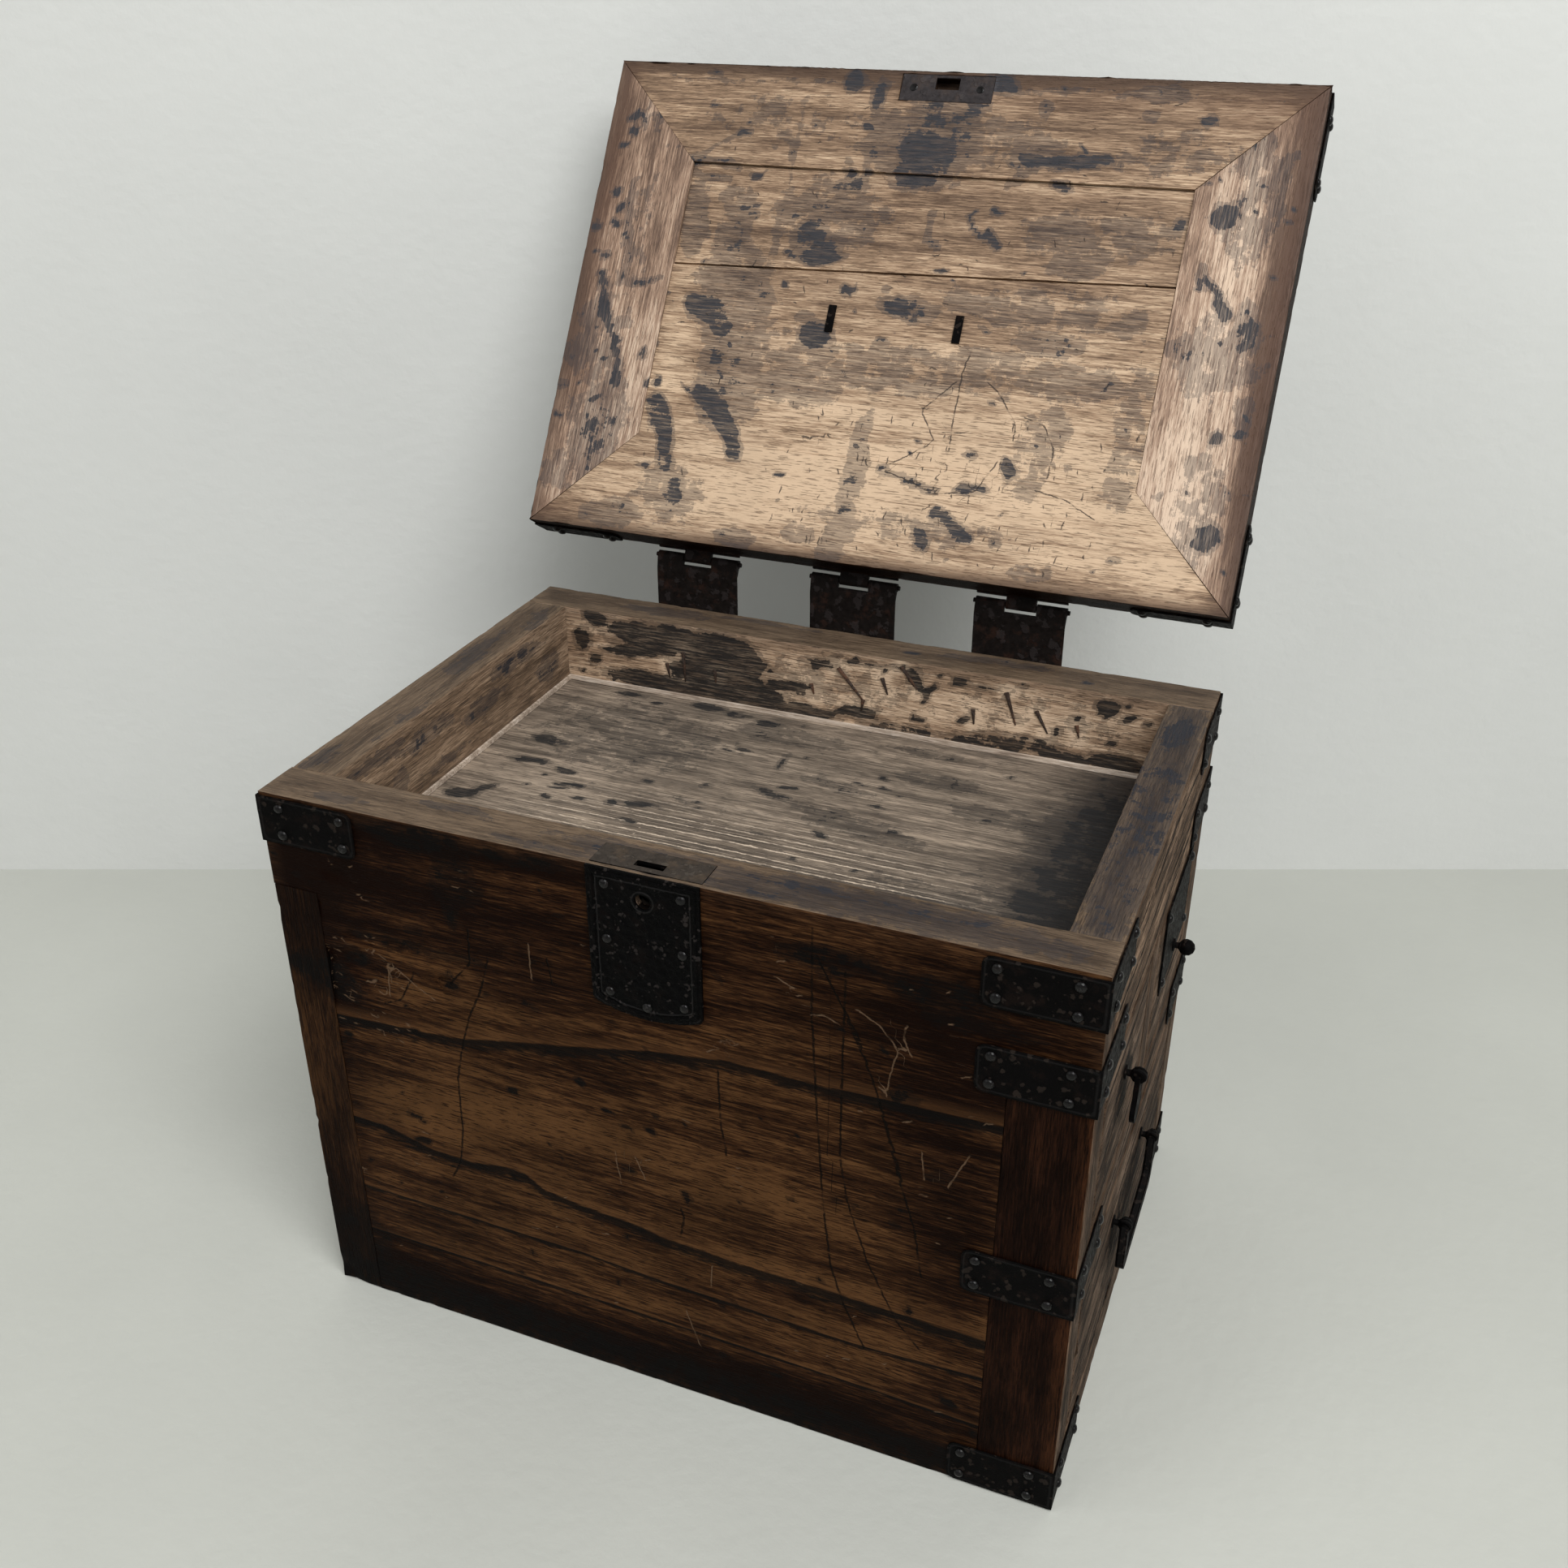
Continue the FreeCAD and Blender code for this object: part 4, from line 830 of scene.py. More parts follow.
OUTER_SHADES = ((0.0065, 0.0023, 0.0012), (0.033, 0.0132, 0.0052), (0.098, 0.045, 0.0170))
LAP_SHADES = ((0.0050, 0.0020, 0.0012), (0.018, 0.0075, 0.0034), (0.055, 0.025, 0.0100))
POST_SHADES = ((0.0035, 0.0014, 0.0009), (0.0105, 0.0040, 0.0022), (0.030, 0.0110, 0.0052))
RIM_SHADES = ((0.040, 0.026, 0.017), (0.092, 0.062, 0.040), (0.175, 0.122, 0.080))
WALL_SHADES = ((0.11, 0.070, 0.044), (0.37, 0.245, 0.155), (0.70, 0.52, 0.36))
FLOOR_SHADES = ((0.060, 0.047, 0.037), (0.170, 0.133, 0.100), (0.38, 0.30, 0.225))
SIDE_WALL_SHADES = ((0.062, 0.040, 0.025), (0.21, 0.138, 0.086), (0.42, 0.30, 0.20))
LID_SHADES = ((0.10, 0.058, 0.034), (0.31, 0.200, 0.122), (0.62, 0.45, 0.30))
STILE_SHADES = ((0.11, 0.064, 0.042), (0.34, 0.220, 0.150), (0.66, 0.50, 0.37))
SIDE_SHADES = ((0.014, 0.0090, 0.0062), (0.086, 0.057, 0.039), (0.24, 0.168, 0.120))
TOP_RAIL_SHADES = ((0.020, 0.012, 0.0075), (0.125, 0.080, 0.052), (0.34, 0.23, 0.155))
DRAWER_SHADES = ((0.14, 0.10, 0.07), (0.27, 0.20, 0.14), (0.38, 0.30, 0.21))
BEAD_SHADES = ((0.22, 0.16, 0.12), (0.52, 0.42, 0.33), (0.80, 0.70, 0.60))

# Growth seams that cross the front board: thickness and the places they pass
FRONT_SEAMS = {
    "upper seam": (6.5, [(-197, 210), (-150, 213), (-115, 216), (-95, 221), (-50, 230), (0, 241),
                         (40, 247), (90, 247), (183, 250)]),
    "lower seam": (7.0, [(-197, 137), (-176, 137), (-160, 133), (-145, 129), (-120, 128),
                         (-95, 132), (-84, 131), (-72, 123), (-50, 120), (-20, 118), (0, 114),
                         (50, 111), (90, 111), (183, 109)]),
    "thin seam": (2.6, [(-197, 85), (-50, 84), (0, 81), (50, 80), (110, 78), (183, 82)]),
    "foot seam": (2.0, [(-197, 51), (0, 50), (120, 48), (183, 46)])}
# Lighter and darker patches of the front board: (across, up, half length, half height, change)
FRONT_TONES = [
    (-138, 158, 46, 17, 0.17), (-100, 178, 60, 26, 0.05), (60, 118, 120, 6, 0.09),
    (10, 175, 130, 40, 0.05), (-118, 250, 46, 30, 0.07), (-110, 262, 12, 10, 0.06),
    (110, 262, 46, 16, 0.04), (172, 245, 14, 4, 0.20), (-215, 170, 20, 120, -0.12),
    (0, 12, 260, 22, -0.30), (-190, 34, 40, 26, -0.15), (-70, 337, 90, 8, -0.12),
    (165, 290, 50, 50, -0.10), (-185, 310, 60, 36, -0.15), (-60, 300, 90, 40, -0.08),
    (100, 312, 70, 26, -0.06), (150, 235, 40, 60, -0.05), (165, 160, 16, 90, -0.06),
    (-60, 68, 150, 34, 0.07), (100, 75, 80, 20, 0.04), (60, 150, 110, 30, 0.03),
    (-205, 262, 30, 60, -0.06), (-200, 236, 30, 24, -0.12), (150, 175, 40, 30, -0.04),
    (0, 68, 220, 12, -0.03)]
LAP_TONES = [(-212, 30, 30, 60, -0.12), (-212, 180, 30, 46, 0.05), (-212, 262, 30, 40, -0.10)]
# Soot on the front board, and a band darkening its foot; the first blot, over the keyhole, is painted
# shade inside the hole
FRONT_SOOT_AND_SHADE = [
    (-1, 332, 7, 7, 0, 1.6), ([(-225, 12), (-120, 10), (60, 6), (225, 4)], 17, 0.75),
    (-205, 38, 22, 30, 0, 0.6), (-128, 338, 38, 7, 0, 0.8), (-70, 340, 30, 5, 0, 0.7),
    (-108, 318, 16, 14, 0, 0.6), (-205, 240, 22, 12, 0, 0.8), (-190, 228, 16, 8, 0, 0.7),
    (-178, 252, 9, 4, 0, 0.7), (-122, 252, 5, 3, 0, 0.9), (-160, 268, 16, 4, 0, 0.7),
    (-120, 270, 34, 3.4, 0, 0.6), (95, 322, 26, 8, 0, 0.7), (150, 318, 30, 9, 0, 0.7),
    (170, 304, 34, 5, 0, 0.6), (132, 252, 9, 7, 0, 0.75), (-18, 156, 5, 3, 0, 0.85),
    (15, 147, 3, 5, 0, 0.8), (-112, 300, 5, 14, 0, 0.6), (-138, 282, 6, 4, 0, 0.6),
    (155, 208, 8, 3, 10, 0.6)]
FRONT_PITS = [
    (-205, 236, 24, 18, 0, 1.0), (-180, 250, 18, 8, 0, 0.9), (-165, 268, 22, 4, 0, 0.8),
    (-203, 280, 20, 6, 0, 0.7), (-122, 252, 5, 3, 0, 1.0), (-182, 305, 8, 4, 0, 0.8),
    (-208, 90, 4, 18, 0, 0.9), (-208, 62, 4, 10, 0, 0.7)]
SIDE_NOTCHES = [
    (-226, 273, 3, 3, 0, 0.35), (-226, 124, 3, 2.4, 0, 0.7), (-226, 80, 3, 2.6, 0, 0.6),
    (-226, 221, 3, 3, 0, 0.25), (-226, 0, 13, 13, 0, 1.0)]
# Thin lines, point by point; those in one list don't cross
FRONT_CUTS = [
    [(86, 338), (86, 290), (89, 235), (93, 175), (98, 130), (106, 104), (118, 77)],
    [(103, 318), (102, 250), (102, 205), (106, 178), (118, 140), (135, 104), (149, 88)],
    [(-93, 276), (-100, 252), (-108, 235), (-115, 214), (-121, 188), (-122, 150), (-126, 126),
     (-133, 112)], [(36, 240), (37, 205), (40, 184)], [(12, 140), (14, 132), (11, 118)],
    [(-58, 284), (-56, 268)]]
FRONT_CROSS_CUTS = [
    [(89, 322), (97, 306), (110, 282), (121, 248), (132, 205), (142, 172), (147, 140)],
    [(104, 290), (114, 268), (124, 240), (136, 196)], [(-200, 200), (-198, 168), (-199, 140)],
    [(-222, 214), (-204, 190), (-200, 172)], [(-140, 254), (-152, 232), (-164, 226)],
    [(-120, 250), (-105, 268), (-104, 290)]]
FRONT_PALE_CUTS = [
    [(-199.5, 112), (-199, 104)], [(-199, 98), (-199.5, 93)], [(-199, 84), (-199, 80)],
    [(-199, 66), (-199, 62)], [(108, 298), (120, 292), (130, 280), (126, 262), (125, 251)],
    [(134, 296), (132, 288), (137, 277)], [(67, 306), (73, 303), (80, 301)],
    [(85, 288), (92, 290), (100, 287)], [(-166, 262), (-157, 256), (-159, 232)],
    [(-156, 256), (-143, 246), (-130, 238)], [(-68, 290), (-68, 268)], [(144, 222), (146, 204)],
    [(168, 228), (158, 204)], [(-26, 168), (-23, 144)], [(-14, 168), (-8, 152)], [(13, 64), (21, 40)],
    [(30, 104), (29, 88)], [(36, 258), (44, 262), (40, 256), (48, 260)], [(30, 250), (37, 254)],
    [(-208, 110), (-206, 84)]]

FRONT_SOOT_AND_SHADE += specks(13, 120, (-222, 30), (182, 335), 2.6)
FRONT_PALE_CUTS += scuffs(11, 60, (-222, 202), (-150, 274))
FRONT_PALE_CUTS += scuffs(12, 70, (-200, 40), (200, 330))

# Dirt, ink and water stains on the lid's underside
LID_STAINS = [
    (-6, 108, 46, 24, 0, 0.50), ([(-155, 68), (-150, 38)], 12, 0.42),
    ([(-122, 66), (-122, 32)], 12, 0.45), ([(-118, 20), (-100, -14)], 24, 0.48),
    ([(-112, -20), (-104, -62)], 20, 0.52), (70, -30, 90, 16, 0, 0.40), (-40, -34, 60, 14, 0, 0.40),
    (80, 12, 60, 14, 0, 0.36), (-11, -110, 9, 48, 0, 0.50), (95, -80, 14, 30, 0, 0.36),
    (130, 60, 30, 16, 0, 0.36), (-130, -128, 24, 22, 0, 0.40), (40, 112, 40, 16, 0, 0.40),
    (-60, 60, 40, 26, 0, 0.40), (150, 110, 40, 14, 0, 0.34), (-100, 120, 50, 18, 0, 0.28),
    (150, -60, 12, 50, 0, 0.38), (20, -128, 70, 10, 0, 0.34), (-5, 104, 24, 13, 0, 1.0),
    (-2, 116, 27, 18, 0, 0.7), (-8, 90, 22, 11, 5, 0.8), (5, 132, 24, 14, 0, 0.66),
    (-28, 118, 12, 8, 20, 0.6), (34, 148, 13, 7, 0, 0.9), (-60, 147, 7, 8, 0, 0.95),
    (-43, 139, 6, 11, 0, 0.85), (62, 134, 5, 7, 0, 0.6), (125, 132, 6, 4, 0, 0.6),
    (162, 131, 4, 4, 0, 0.95), (130, 145, 20, 6, 0, 0.5), ([(57, 103), (80, 100), (105, 106)], 4.2, 0.95),
    ([(64, 97), (49, 85)], 4, 0.55), (81, 86, 6, 4, -20, 0.8), (70, 113, 8, 5, 0, 0.5),
    (-52, 80, 13, 5, 15, 0.8), ([(-41, 100), (-42, 82)], 2.2, 0.6), (-55, 96, 4, 3, 0, 0.6),
    (-45, 117, 4, 3, 0, 0.95), (-70, 122, 4, 3, 0, 0.5),
    ([(-167, 90), (-150, 98), (-130, 109)], 1.8, 0.5), ([(-166, 90), (-150, 92), (-128, 88)], 2.6, 0.6),
    ([(-164, 88), (-150, 82), (-133, 80)], 2.6, 0.55), (-163, 90, 5, 4, 0, 0.8),
    (-129, 110, 6, 2.6, 5, 0.95), ([(-127, 64), (-120, 63)], 4, 0.8),
    ([(-121, 63), (-109, 57)], 1.8, 0.9), ([(-151, 64), (-147, 34)], 6, 0.55),
    (-122, 43, 8.5, 15, 0, 0.66), (-132, 70, 7, 3, 0, 0.6), ([(-94, 132), (-93, 34)], 2.2, 0.52),
    (-67, 42, 18, 10, -8, 0.8), (-62, 34, 17, 5, 0, 0.95), (-73, 53, 9, 4, 30, 0.85),
    (-70, 67, 11, 4, 0, 0.62), (-35, 50, 3, 3, 0, 0.6), ([(3, 65), (5, 50), (14, 45)], 2.4, 0.55),
    ([(28, 66), (33, 57), (38, 54)], 2, 0.85), ([(41, 57), (49, 49)], 3, 0.95),
    ([(41, 70), (46, 69)], 1.8, 0.8), (85, 58, 24, 14, 0, 0.5), (100, 40, 20, 10, 0, 0.45),
    (155, 68, 3, 5, 0, 0.85), (120, 68, 14, 5, 0, 0.5), (-12, 145, 200, 3, 0, 0.35),
    (-105, 2, 22, 20, 0, 0.52), (-134, -3, 14, 8, -8, 0.95),
    ([(-140, -1), (-126, -8), (-119, -18)], 8, 0.9), ([(-112, -22), (-112, -50), (-110, -70)], 13, 0.62),
    ([(-124, -60), (-107, -71), (-93, -94)], 6.5, 0.95), (-98, -50, 16, 20, 0, 0.5),
    (-41, 14, 4, 4, 0, 0.95), (-35, 14, 3, 5, -30, 0.9), (-55, -17, 11, 9.5, 0, 1.0),
    (-62, -6, 10, 6, 0, 0.5), (4, 6, 21, 8, -8, 0.72), (36, 12, 13, 6, 0, 0.5), (94, -9, 25, 8, 0, 0.6),
    (70, 8, 30, 8, 0, 0.45), (128, -32, 17, 10, 0, 0.5), (-60, -50, 34, 12, 0, 0.5),
    (10, -42, 36, 7, 0, 0.42), (-10, -22, 30, 5, 0, 0.4), (105, -62, 12, 18, 0, 0.42),
    (136, 8, 12, 10, 0, 0.45), (-156, -54, 4, 4, 0, 1.0), (-159, -31, 2.8, 2.8, 0, 1.0),
    ([(-152, -68), (-144, -84), (-137, -108)], 6, 0.88), (-128, -125, 10, 12, 0, 0.75),
    ([(-12, -70), (-12, -120), (-18, -152)], 7, 0.6), (82, -85, 4.2, 7, 20, 1.0), (60, -81, 4, 3, 0, 0.8),
    (62, -102, 13, 3.6, 5, 0.8), ([(5, -95), (18, -98), (38, -105)], 2.8, 0.75),
    ([(44, -117), (54, -122), (68, -130)], 3.6, 0.95), (38, -133, 6, 8, 10, 0.85),
    (84, -131, 4, 3, 0, 0.7), (153, -131, 4, 3, 0, 0.7), (-80, -150, 14, 8, 0, 0.55),
    (-168, -144, 22, 11, 0, 0.55), (-40, -140, 12, 8, 0, 0.45), (110, -145, 16, 6, 0, 0.4)]
LID_LEFT_STAINS = [
    (-192, -90, 22, 58, 0, 0.45), (-208, -30, 14, 30, 0, 0.40), (-190, 20, 12, 70, 0, 0.30),
    ([(-199, 75), (-196, 50), (-193, 30), (-194, 5)], 2.8, 0.6),
    ([(-209, 12), (-203, -6), (-190, -34), (-180, -60)], 4, 0.9), ([(-200, 152), (-199, 108)], 1.6, 0.7),
    (-191, -98, 19, 28, 0, 0.66), (-213, -40, 13, 11, 0, 0.5), (-207, -18, 11, 9, 0, 0.5),
    (-207, 116, 5, 3.6, 0, 1.0), (-207, 106, 3.6, 3.6, 0, 0.95), (-210, 67, 4.8, 3.2, 0, 1.0),
    (-206, 46, 3.6, 3.4, 0, 1.0), (-219, 41, 3.4, 3.2, 0, 1.0), (-210, 25, 3.2, 3.2, 0, 0.9),
    (-214, 98, 2.4, 2.4, 0, 0.9), (-167, -38, 3, 5, 0, 0.9), (-162, -57, 3.2, 3.6, 0, 1.0),
    (-176, 8, 11, 3.2, 20, 0.8), (-189, 116, 4.4, 3, 0, 0.7), (-222, -64, 5, 3, 0, 0.8),
    (-186, -18, 8, 6, 0, 0.55), (-175, -135, 14, 16, 0, 0.55), (-215, -120, 10, 16, 0, 0.5)]
LID_RIGHT_STAINS = [
    (192, -10, 26, 26, 0, 0.42), (196, 80, 18, 36, 0, 0.38), (196, -100, 18, 40, 0, 0.32),
    (182, 74, 8.5, 9, 12, 0.9), (186, 84, 3, 6, 0, 0.8), ([(174, 36), (184, 30), (190, 15)], 3.6, 0.9),
    (203, 9, 8, 16, 0, 0.78), (176, -4, 17, 7, 0, 0.6), (199, -53, 4, 5, 0, 0.9),
    (203, -111, 9, 9.5, 0, 0.95), (211, -84, 3, 3, 0, 0.8), (190, 115, 11, 18, 0, 0.5),
    (205, 95, 8, 20, 0, 0.5), (170, 40, 5, 6, 0, 0.5), (212, -30, 6, 30, 0, 0.42),
    (190, -75, 5, 12, 0, 0.4)]
LID_STAINS += specks(5, 110, (-160, -150), (160, 150), 2.6)
LID_LEFT_STAINS += specks(6, 40, (-222, -150), (-165, 150), 2.8)
LID_RIGHT_STAINS += specks(7, 40, (165, -150), (222, 150), 2.8)
# Paler and darker patches of the lid's underside; the broad pale ones toward the hinge (up about -80 to
# -120) are paler wood and painted sheen at once
LID_TONES_AND_SHEEN = [
    (70, -85, 120, 34, 0.13), (-60, -115, 90, 26, 0.13), (0, -120, 240, 44, 0.05),
    (190, 30, 20, 90, 0.10), (-148, -45, 12, 34, 0.10), (150, -120, 50, 26, 0.07),
    (0, 120, 230, 30, -0.05), (60, 50, 110, 26, -0.06), (-100, 50, 60, 26, -0.05), (0, -20, 160, 5, 0.10),
    (-20, -57, 150, 6, 0.08), (-10, 100, 30, 40, -0.05), (186, -60, 12, 90, 0.10),
    (213, 60, 12, 120, -0.10), (0, 153, 240, 7, -0.26), (-222, 10, 8, 170, -0.18),
    (222, 0, 9, 170, -0.30), (0, -155, 230, 4, -0.12), (-180, 60, 30, 90, -0.04), (-140, 20, 18, 8, 0.08),
    (80, 35, 60, 6, 0.03)]
# Redder, varnished edges of the lid
LID_RUDDY = [
    (-218, 70, 11, 90, 0.7), (-203, -58, 18, 12, 0.6), (222, 0, 8, 160, 0.9), (90, 140, 120, 8, 0.35),
    (195, 135, 26, 22, 0.5), (-215, -145, 20, 10, 0.5), (0, 84, 160, 5, 0.2)]
LID_CUTS = [
    [(47, -15), (44, -30), (44, -60), (46, -92)], [(85, -53), (100, -58), (108, -72), (107, -90)],
    [(8, -96), (20, -99), (42, -106), (66, -102), (76, -82)], [(-50, -80), (-30, -79)]]
LID_CROSS_CUTS = [
    [(60, -35), (68, -40), (82, -58), (83, -63)], [(42, -36), (23, -56), (35, -74)],
    [(33, -76), (9, -92)], [(92, -95), (120, -100), (140, -110)], [(39, -68), (54, -67)]]
LID_CUTS += scuffs(14, 90, (-60, -148), (158, -62), upright=True)
LID_CUTS += scuffs(15, 50, (-155, -60), (158, 148))
LID_CROSS_CUTS += scuffs(16, 60, (-155, -148), (158, 100), upright=True)

# Ink and soot in the tray, and a painted shadow on its floor: back wall (across, up) and floor (across,
# back)
WALL_STAINS = [
    (-128, 334, 44, 11, 0, 0.95), (-84, 325, 27, 21, 0, 1.5), (-74, 306, 32, 13, 0, 1.5),
    (-115, 303, 52, 7, 0, 1.3), (-38, 300, 36, 5, 0, 1.2), (-150, 322, 22, 4, 5, 1.1),
    (-176, 341, 9, 7, -30, 1.2), (-150, 340, 18, 4, 0, 1.1), (6, 306, 15, 3.4, 8, 1.2),
    (-40, 317, 15, 3.4, 0, 1.0), (46, 335, 3.4, 10, 30, 1.2), (55, 328, 3.4, 7, -30, 1.1),
    (165, 339, 8, 5, 0, 1.3), (100, 302, 42, 7, 8, 0.8), (174, 302, 17, 6, 0, 1.3),
    (73, 339, 7, 4, 0, 0.9), (-176, 312, 6, 4, 0, 1.0), (-18, 336, 12, 3, 0, 0.9),
    (90, 339, 12, 2.4, 0, 0.8), (135, 318, 3.4, 3.4, 0, 1.0), (-108, 316, 14, 6, 0, 1.2),
    (20, 341, 40, 2.4, 0, 0.7), (-10, 322, 70, 16, 0, 0.30), (120, 322, 60, 20, 0, 0.26),
    (-185, 325, 8, 10, 0, 0.8), (36, 300, 30, 3, 0, 0.8), (140, 300, 20, 4, 0, 1.0)]
WALL_TONES = [(0, 318, 90, 22, 0.06), (130, 325, 60, 20, 0.04), (-160, 305, 20, 8, 0.05)]
# Clinched tips of the hinge nails on the tray's back wall: (across, up) of both ends
CLINCHED_TIPS = [
    ((-5, 335), (13, 314)), ((36, 343), (47, 329)), ((103, 337), (110, 316)), ((122, 328), (130, 314)),
    ((-124, 318), (-122, 308)), ((-112, 328), (-111, 307)), ((-90, 319), (-89, 310)),
    ((-23, 321), (-21, 314)), ((83, 322), (84, 312)), ((12, 316), (11, 308)), ((147, 323), (149, 315)),
    ((24, 333), (28, 322))]
CHIP = (5, 4, 0.35)                  # pale torn wood round a clinched tip
# The long patch at the floor's right end (across 188) is painted shadow of the right end wall
FLOOR_STAINS_AND_SHADOW = [
    (-148, 119, 8, 4, 0, 0.9), (-92, 121, 13, 5, 0, 1.0), (-68, 118, 9, 5, 0, 0.9),
    (-44, 112, 10, 4, 0, 0.9), (-165, 42, 12, 8, -20, 0.85), (-162, 13, 13, 4, 15, 0.95),
    (-180, -38, 13, 6, 10, 1.0), (-170, -28, 5, 8, -20, 0.9), (-17, 70, 2.4, 12, 0, 0.8),
    (-10, 28, 17, 3.4, -20, 0.8), (-75, -12, 11, 4, 0, 0.9), (-92, -15, 6, 4, 0, 0.9),
    (-125, -8, 9, 3, 0, 0.8), (80, 78, 26, 9, 0, 0.55), (50, 10, 42, 12, -10, 0.5),
    (188, -20, 40, 150, 0, 0.85), (150, -60, 50, 50, 0, 0.34), (-120, 66, 64, 44, 0, 0.40),
    (-30, 100, 40, 10, 0, 0.5), (120, 50, 34, 10, -6, 0.5), (20, 52, 24, 5, -8, 0.6),
    (110, -40, 40, 12, 0, 0.42), (60, 112, 24, 6, 0, 0.5)]
FLOOR_STAINS_AND_SHADOW += specks(3, 90, (-190, -120), (190, 122), 3.2)
WALL_STAINS += specks(4, 70, (-190, 298), (195, 344), 2.8)
# Hard rings of the floor in millimetres, and where it is bare: its middle and how far it reaches
FIRST_RING = -120.0
LAST_RING = 40
RING_STATIONS = (-185, -95, 0, 95, 190)
BARE_PATCH = ((-10, -55), (150, 62))
# Tones of the floor; the dark one at its right end (across 178) is painted shadow of the right end wall
FLOOR_TONES_AND_SHADOW = [
    (0, -100, 200, 24, 0.04), (-150, 20, 60, 120, 0.07), (60, -40, 120, 50, -0.04),
    (178, 0, 30, 150, -0.30), (-140, 70, 50, 60, -0.04), (60, 100, 120, 20, 0.03)]
RIM_STAINS = [
    (110, -141, 110, 14, 0, 0.45), (-10, -136, 60, 5, 0, 0.5), (-10, -141, 34, 8, 0, 0.8),
    (20, -150, 60, 3, 0, 0.7), (75, -137, 40, 4, 0, 0.75), (140, -138, 34, 4, 0, 0.7),
    (-60, -150, 30, 3, 0, 0.6), (-130, 143, 30, 8, 0, 0.55), (40, 139, 5, 3, 0, 0.9),
    (150, 138, 4, 3, 0, 1.0), (90, 146, 40, 5, 0, 0.5), (-60, 150, 40, 3, 0, 0.5),
    (-120, -134, 26, 4, 0, 0.5), (-180, -146, 20, 5, 0, 0.45)]
END_RIM_STAINS = [
    (212, 0, 18, 160, 0, 0.62), (208, -80, 7, 36, 0, 0.6), (211, 92, 7, 22, 0, 0.9),
    (204, 25, 4, 30, 0, 0.6), (215, -20, 4, 30, 0, 0.7), (219, -115, 4, 30, 0, 0.6),
    (-218, -110, 6, 20, 0, 0.5), (-212, 40, 7, 40, 0, 0.45), (-202, -60, 4, 30, 0, 0.4),
    (-205, 100, 6, 20, 0, 0.5)]
RIM_TONES = [
    (120, -141, 90, 30, -0.09), (212, 0, 18, 170, -0.10), (-200, -60, 30, 80, 0.03),
    (-40, -141, 60, 20, -0.03), (60, 141, 160, 20, 0.03), (-100, -156, 120, 4, 0.05)]
LEFT_WALL_STAINS = [
    (60, 335, 30, 6, 0, 0.75), (20, 322, 26, 5, 0, 0.6), (100, 315, 14, 9, 0, 0.6),
    (-40, 330, 30, 6, 0, 0.6), (-90, 338, 24, 5, 0, 0.6), (-20, 306, 30, 4, 0, 0.5),
    (-70, 312, 8, 10, 0, 0.6)]
# Cracks and grease on the drawer end: (along, up)
END_CRACKS = [
    [(-120, 118), (-60, 112), (10, 116), (90, 110)], [(-126, 88), (-70, 92), (-10, 86)],
    [(20, 96), (70, 92), (122, 96)], [(-120, 66), (-90, 62), (-40, 66), (30, 60), (110, 64)],
    [(-118, 46), (-50, 42), (20, 46), (120, 40)], [(-122, 254), (-80, 250), (-20, 254)],
    [(-120, 206), (-90, 210), (-24, 204)], [(-118, 184), (-60, 180), (-18, 184)],
    [(18, 196), (60, 200), (124, 194)], [(-120, 160), (-40, 156), (60, 160), (124, 154)],
    [(-122, 330), (-50, 326), (20, 330), (120, 322)], [(-120, 304), (-60, 300), (0, 304)],
    [(10, 296), (60, 292), (122, 298)], [(-120, 282), (-20, 278), (90, 284)]]
END_GREASE = [
    (0, 84, 62, 26, 0, 0.75), (-70, 222, 26, 22, 0, 0.8), (70, 240, 50, 30, 0, 0.6),
    (0, 34, 130, 8, 0, 0.7), (-110, 120, 20, 20, 0, 0.6), (100, 60, 30, 20, 0, 0.6),
    (-100, 200, 16, 20, 0, 0.6), (-140, 100, 12, 90, 0, 0.5)]


def only_where(piece, finish, rest, holds):
    """Faces with a finish at places where the test doesn't hold get another one."""
    names = [material.name for material in piece.data.materials]
    mine, other = names.index(finish.name), names.index(rest.name)
    for face in piece.data.polygons:
        if face.material_index == mine and not holds(face.center):
            face.material_index = other


def in_tray(place):
    inside = TRAY_LOW.y - WALL_LAP < place.y < TRAY_HIGH.y + WALL_LAP
    return inside and place.z > TRAY_LOW.z - UNDER_TRAY


def on_rim(place):
    return place.z > BODY_HIGH.z - RIM_BAND


def dress_node(node, finish):
    """A CAD node keeps its own mesh and gets a finish."""
    cover(frame["nodes"][node], finish)


# ---- finishes of the boards -----------------------------------------------------------

def front_finish():
    made = Wood("front board", "x", OUTER_SHADES, streak=0.9, grime=0.35, pores=0.8, contrast=1.5,
                rough=0.5, tinted="tone")
    made.rubbed(WORN_DARK, 0.35)
    for attribute in FRONT_SEAMS:
        made.seamed(attribute, CHAR, SEAM_LIP)
    # Soot, and the painted shade inside the keyhole
    made.stained(CHAR)
    made.ruled("cuts", CUT_DARK, 0.75)
    made.ruled("cross cuts", CUT_DARK, 0.7)
    made.ruled("pale cuts", CUT_PALE, 0.65, share=0.6)
    return made.closed(0.5, specular=OLD_WAX)


def rim_finish(name, grain, attribute="soot"):
    made = Wood(name, grain, RIM_SHADES, streak=0.8, grime=0.3, pores=0.4, contrast=1.1,
                tinted="rim tone")
    made.rubbed(WORN_RIM, 0.5)
    made.stained(SOOT, attribute, fray=0.9)
    return made.closed(0.35, specular=0.15)


def plain_finish(name, grain, shades, on_lid=False, worn=WORN_DARK, share=0.35):
    made = Wood(name, grain, shades, streak=0.8, grime=0.5, on_lid=on_lid, rough=0.5)
    made.rubbed(worn, share)
    return made.closed(0.4, specular=OLD_WAX)


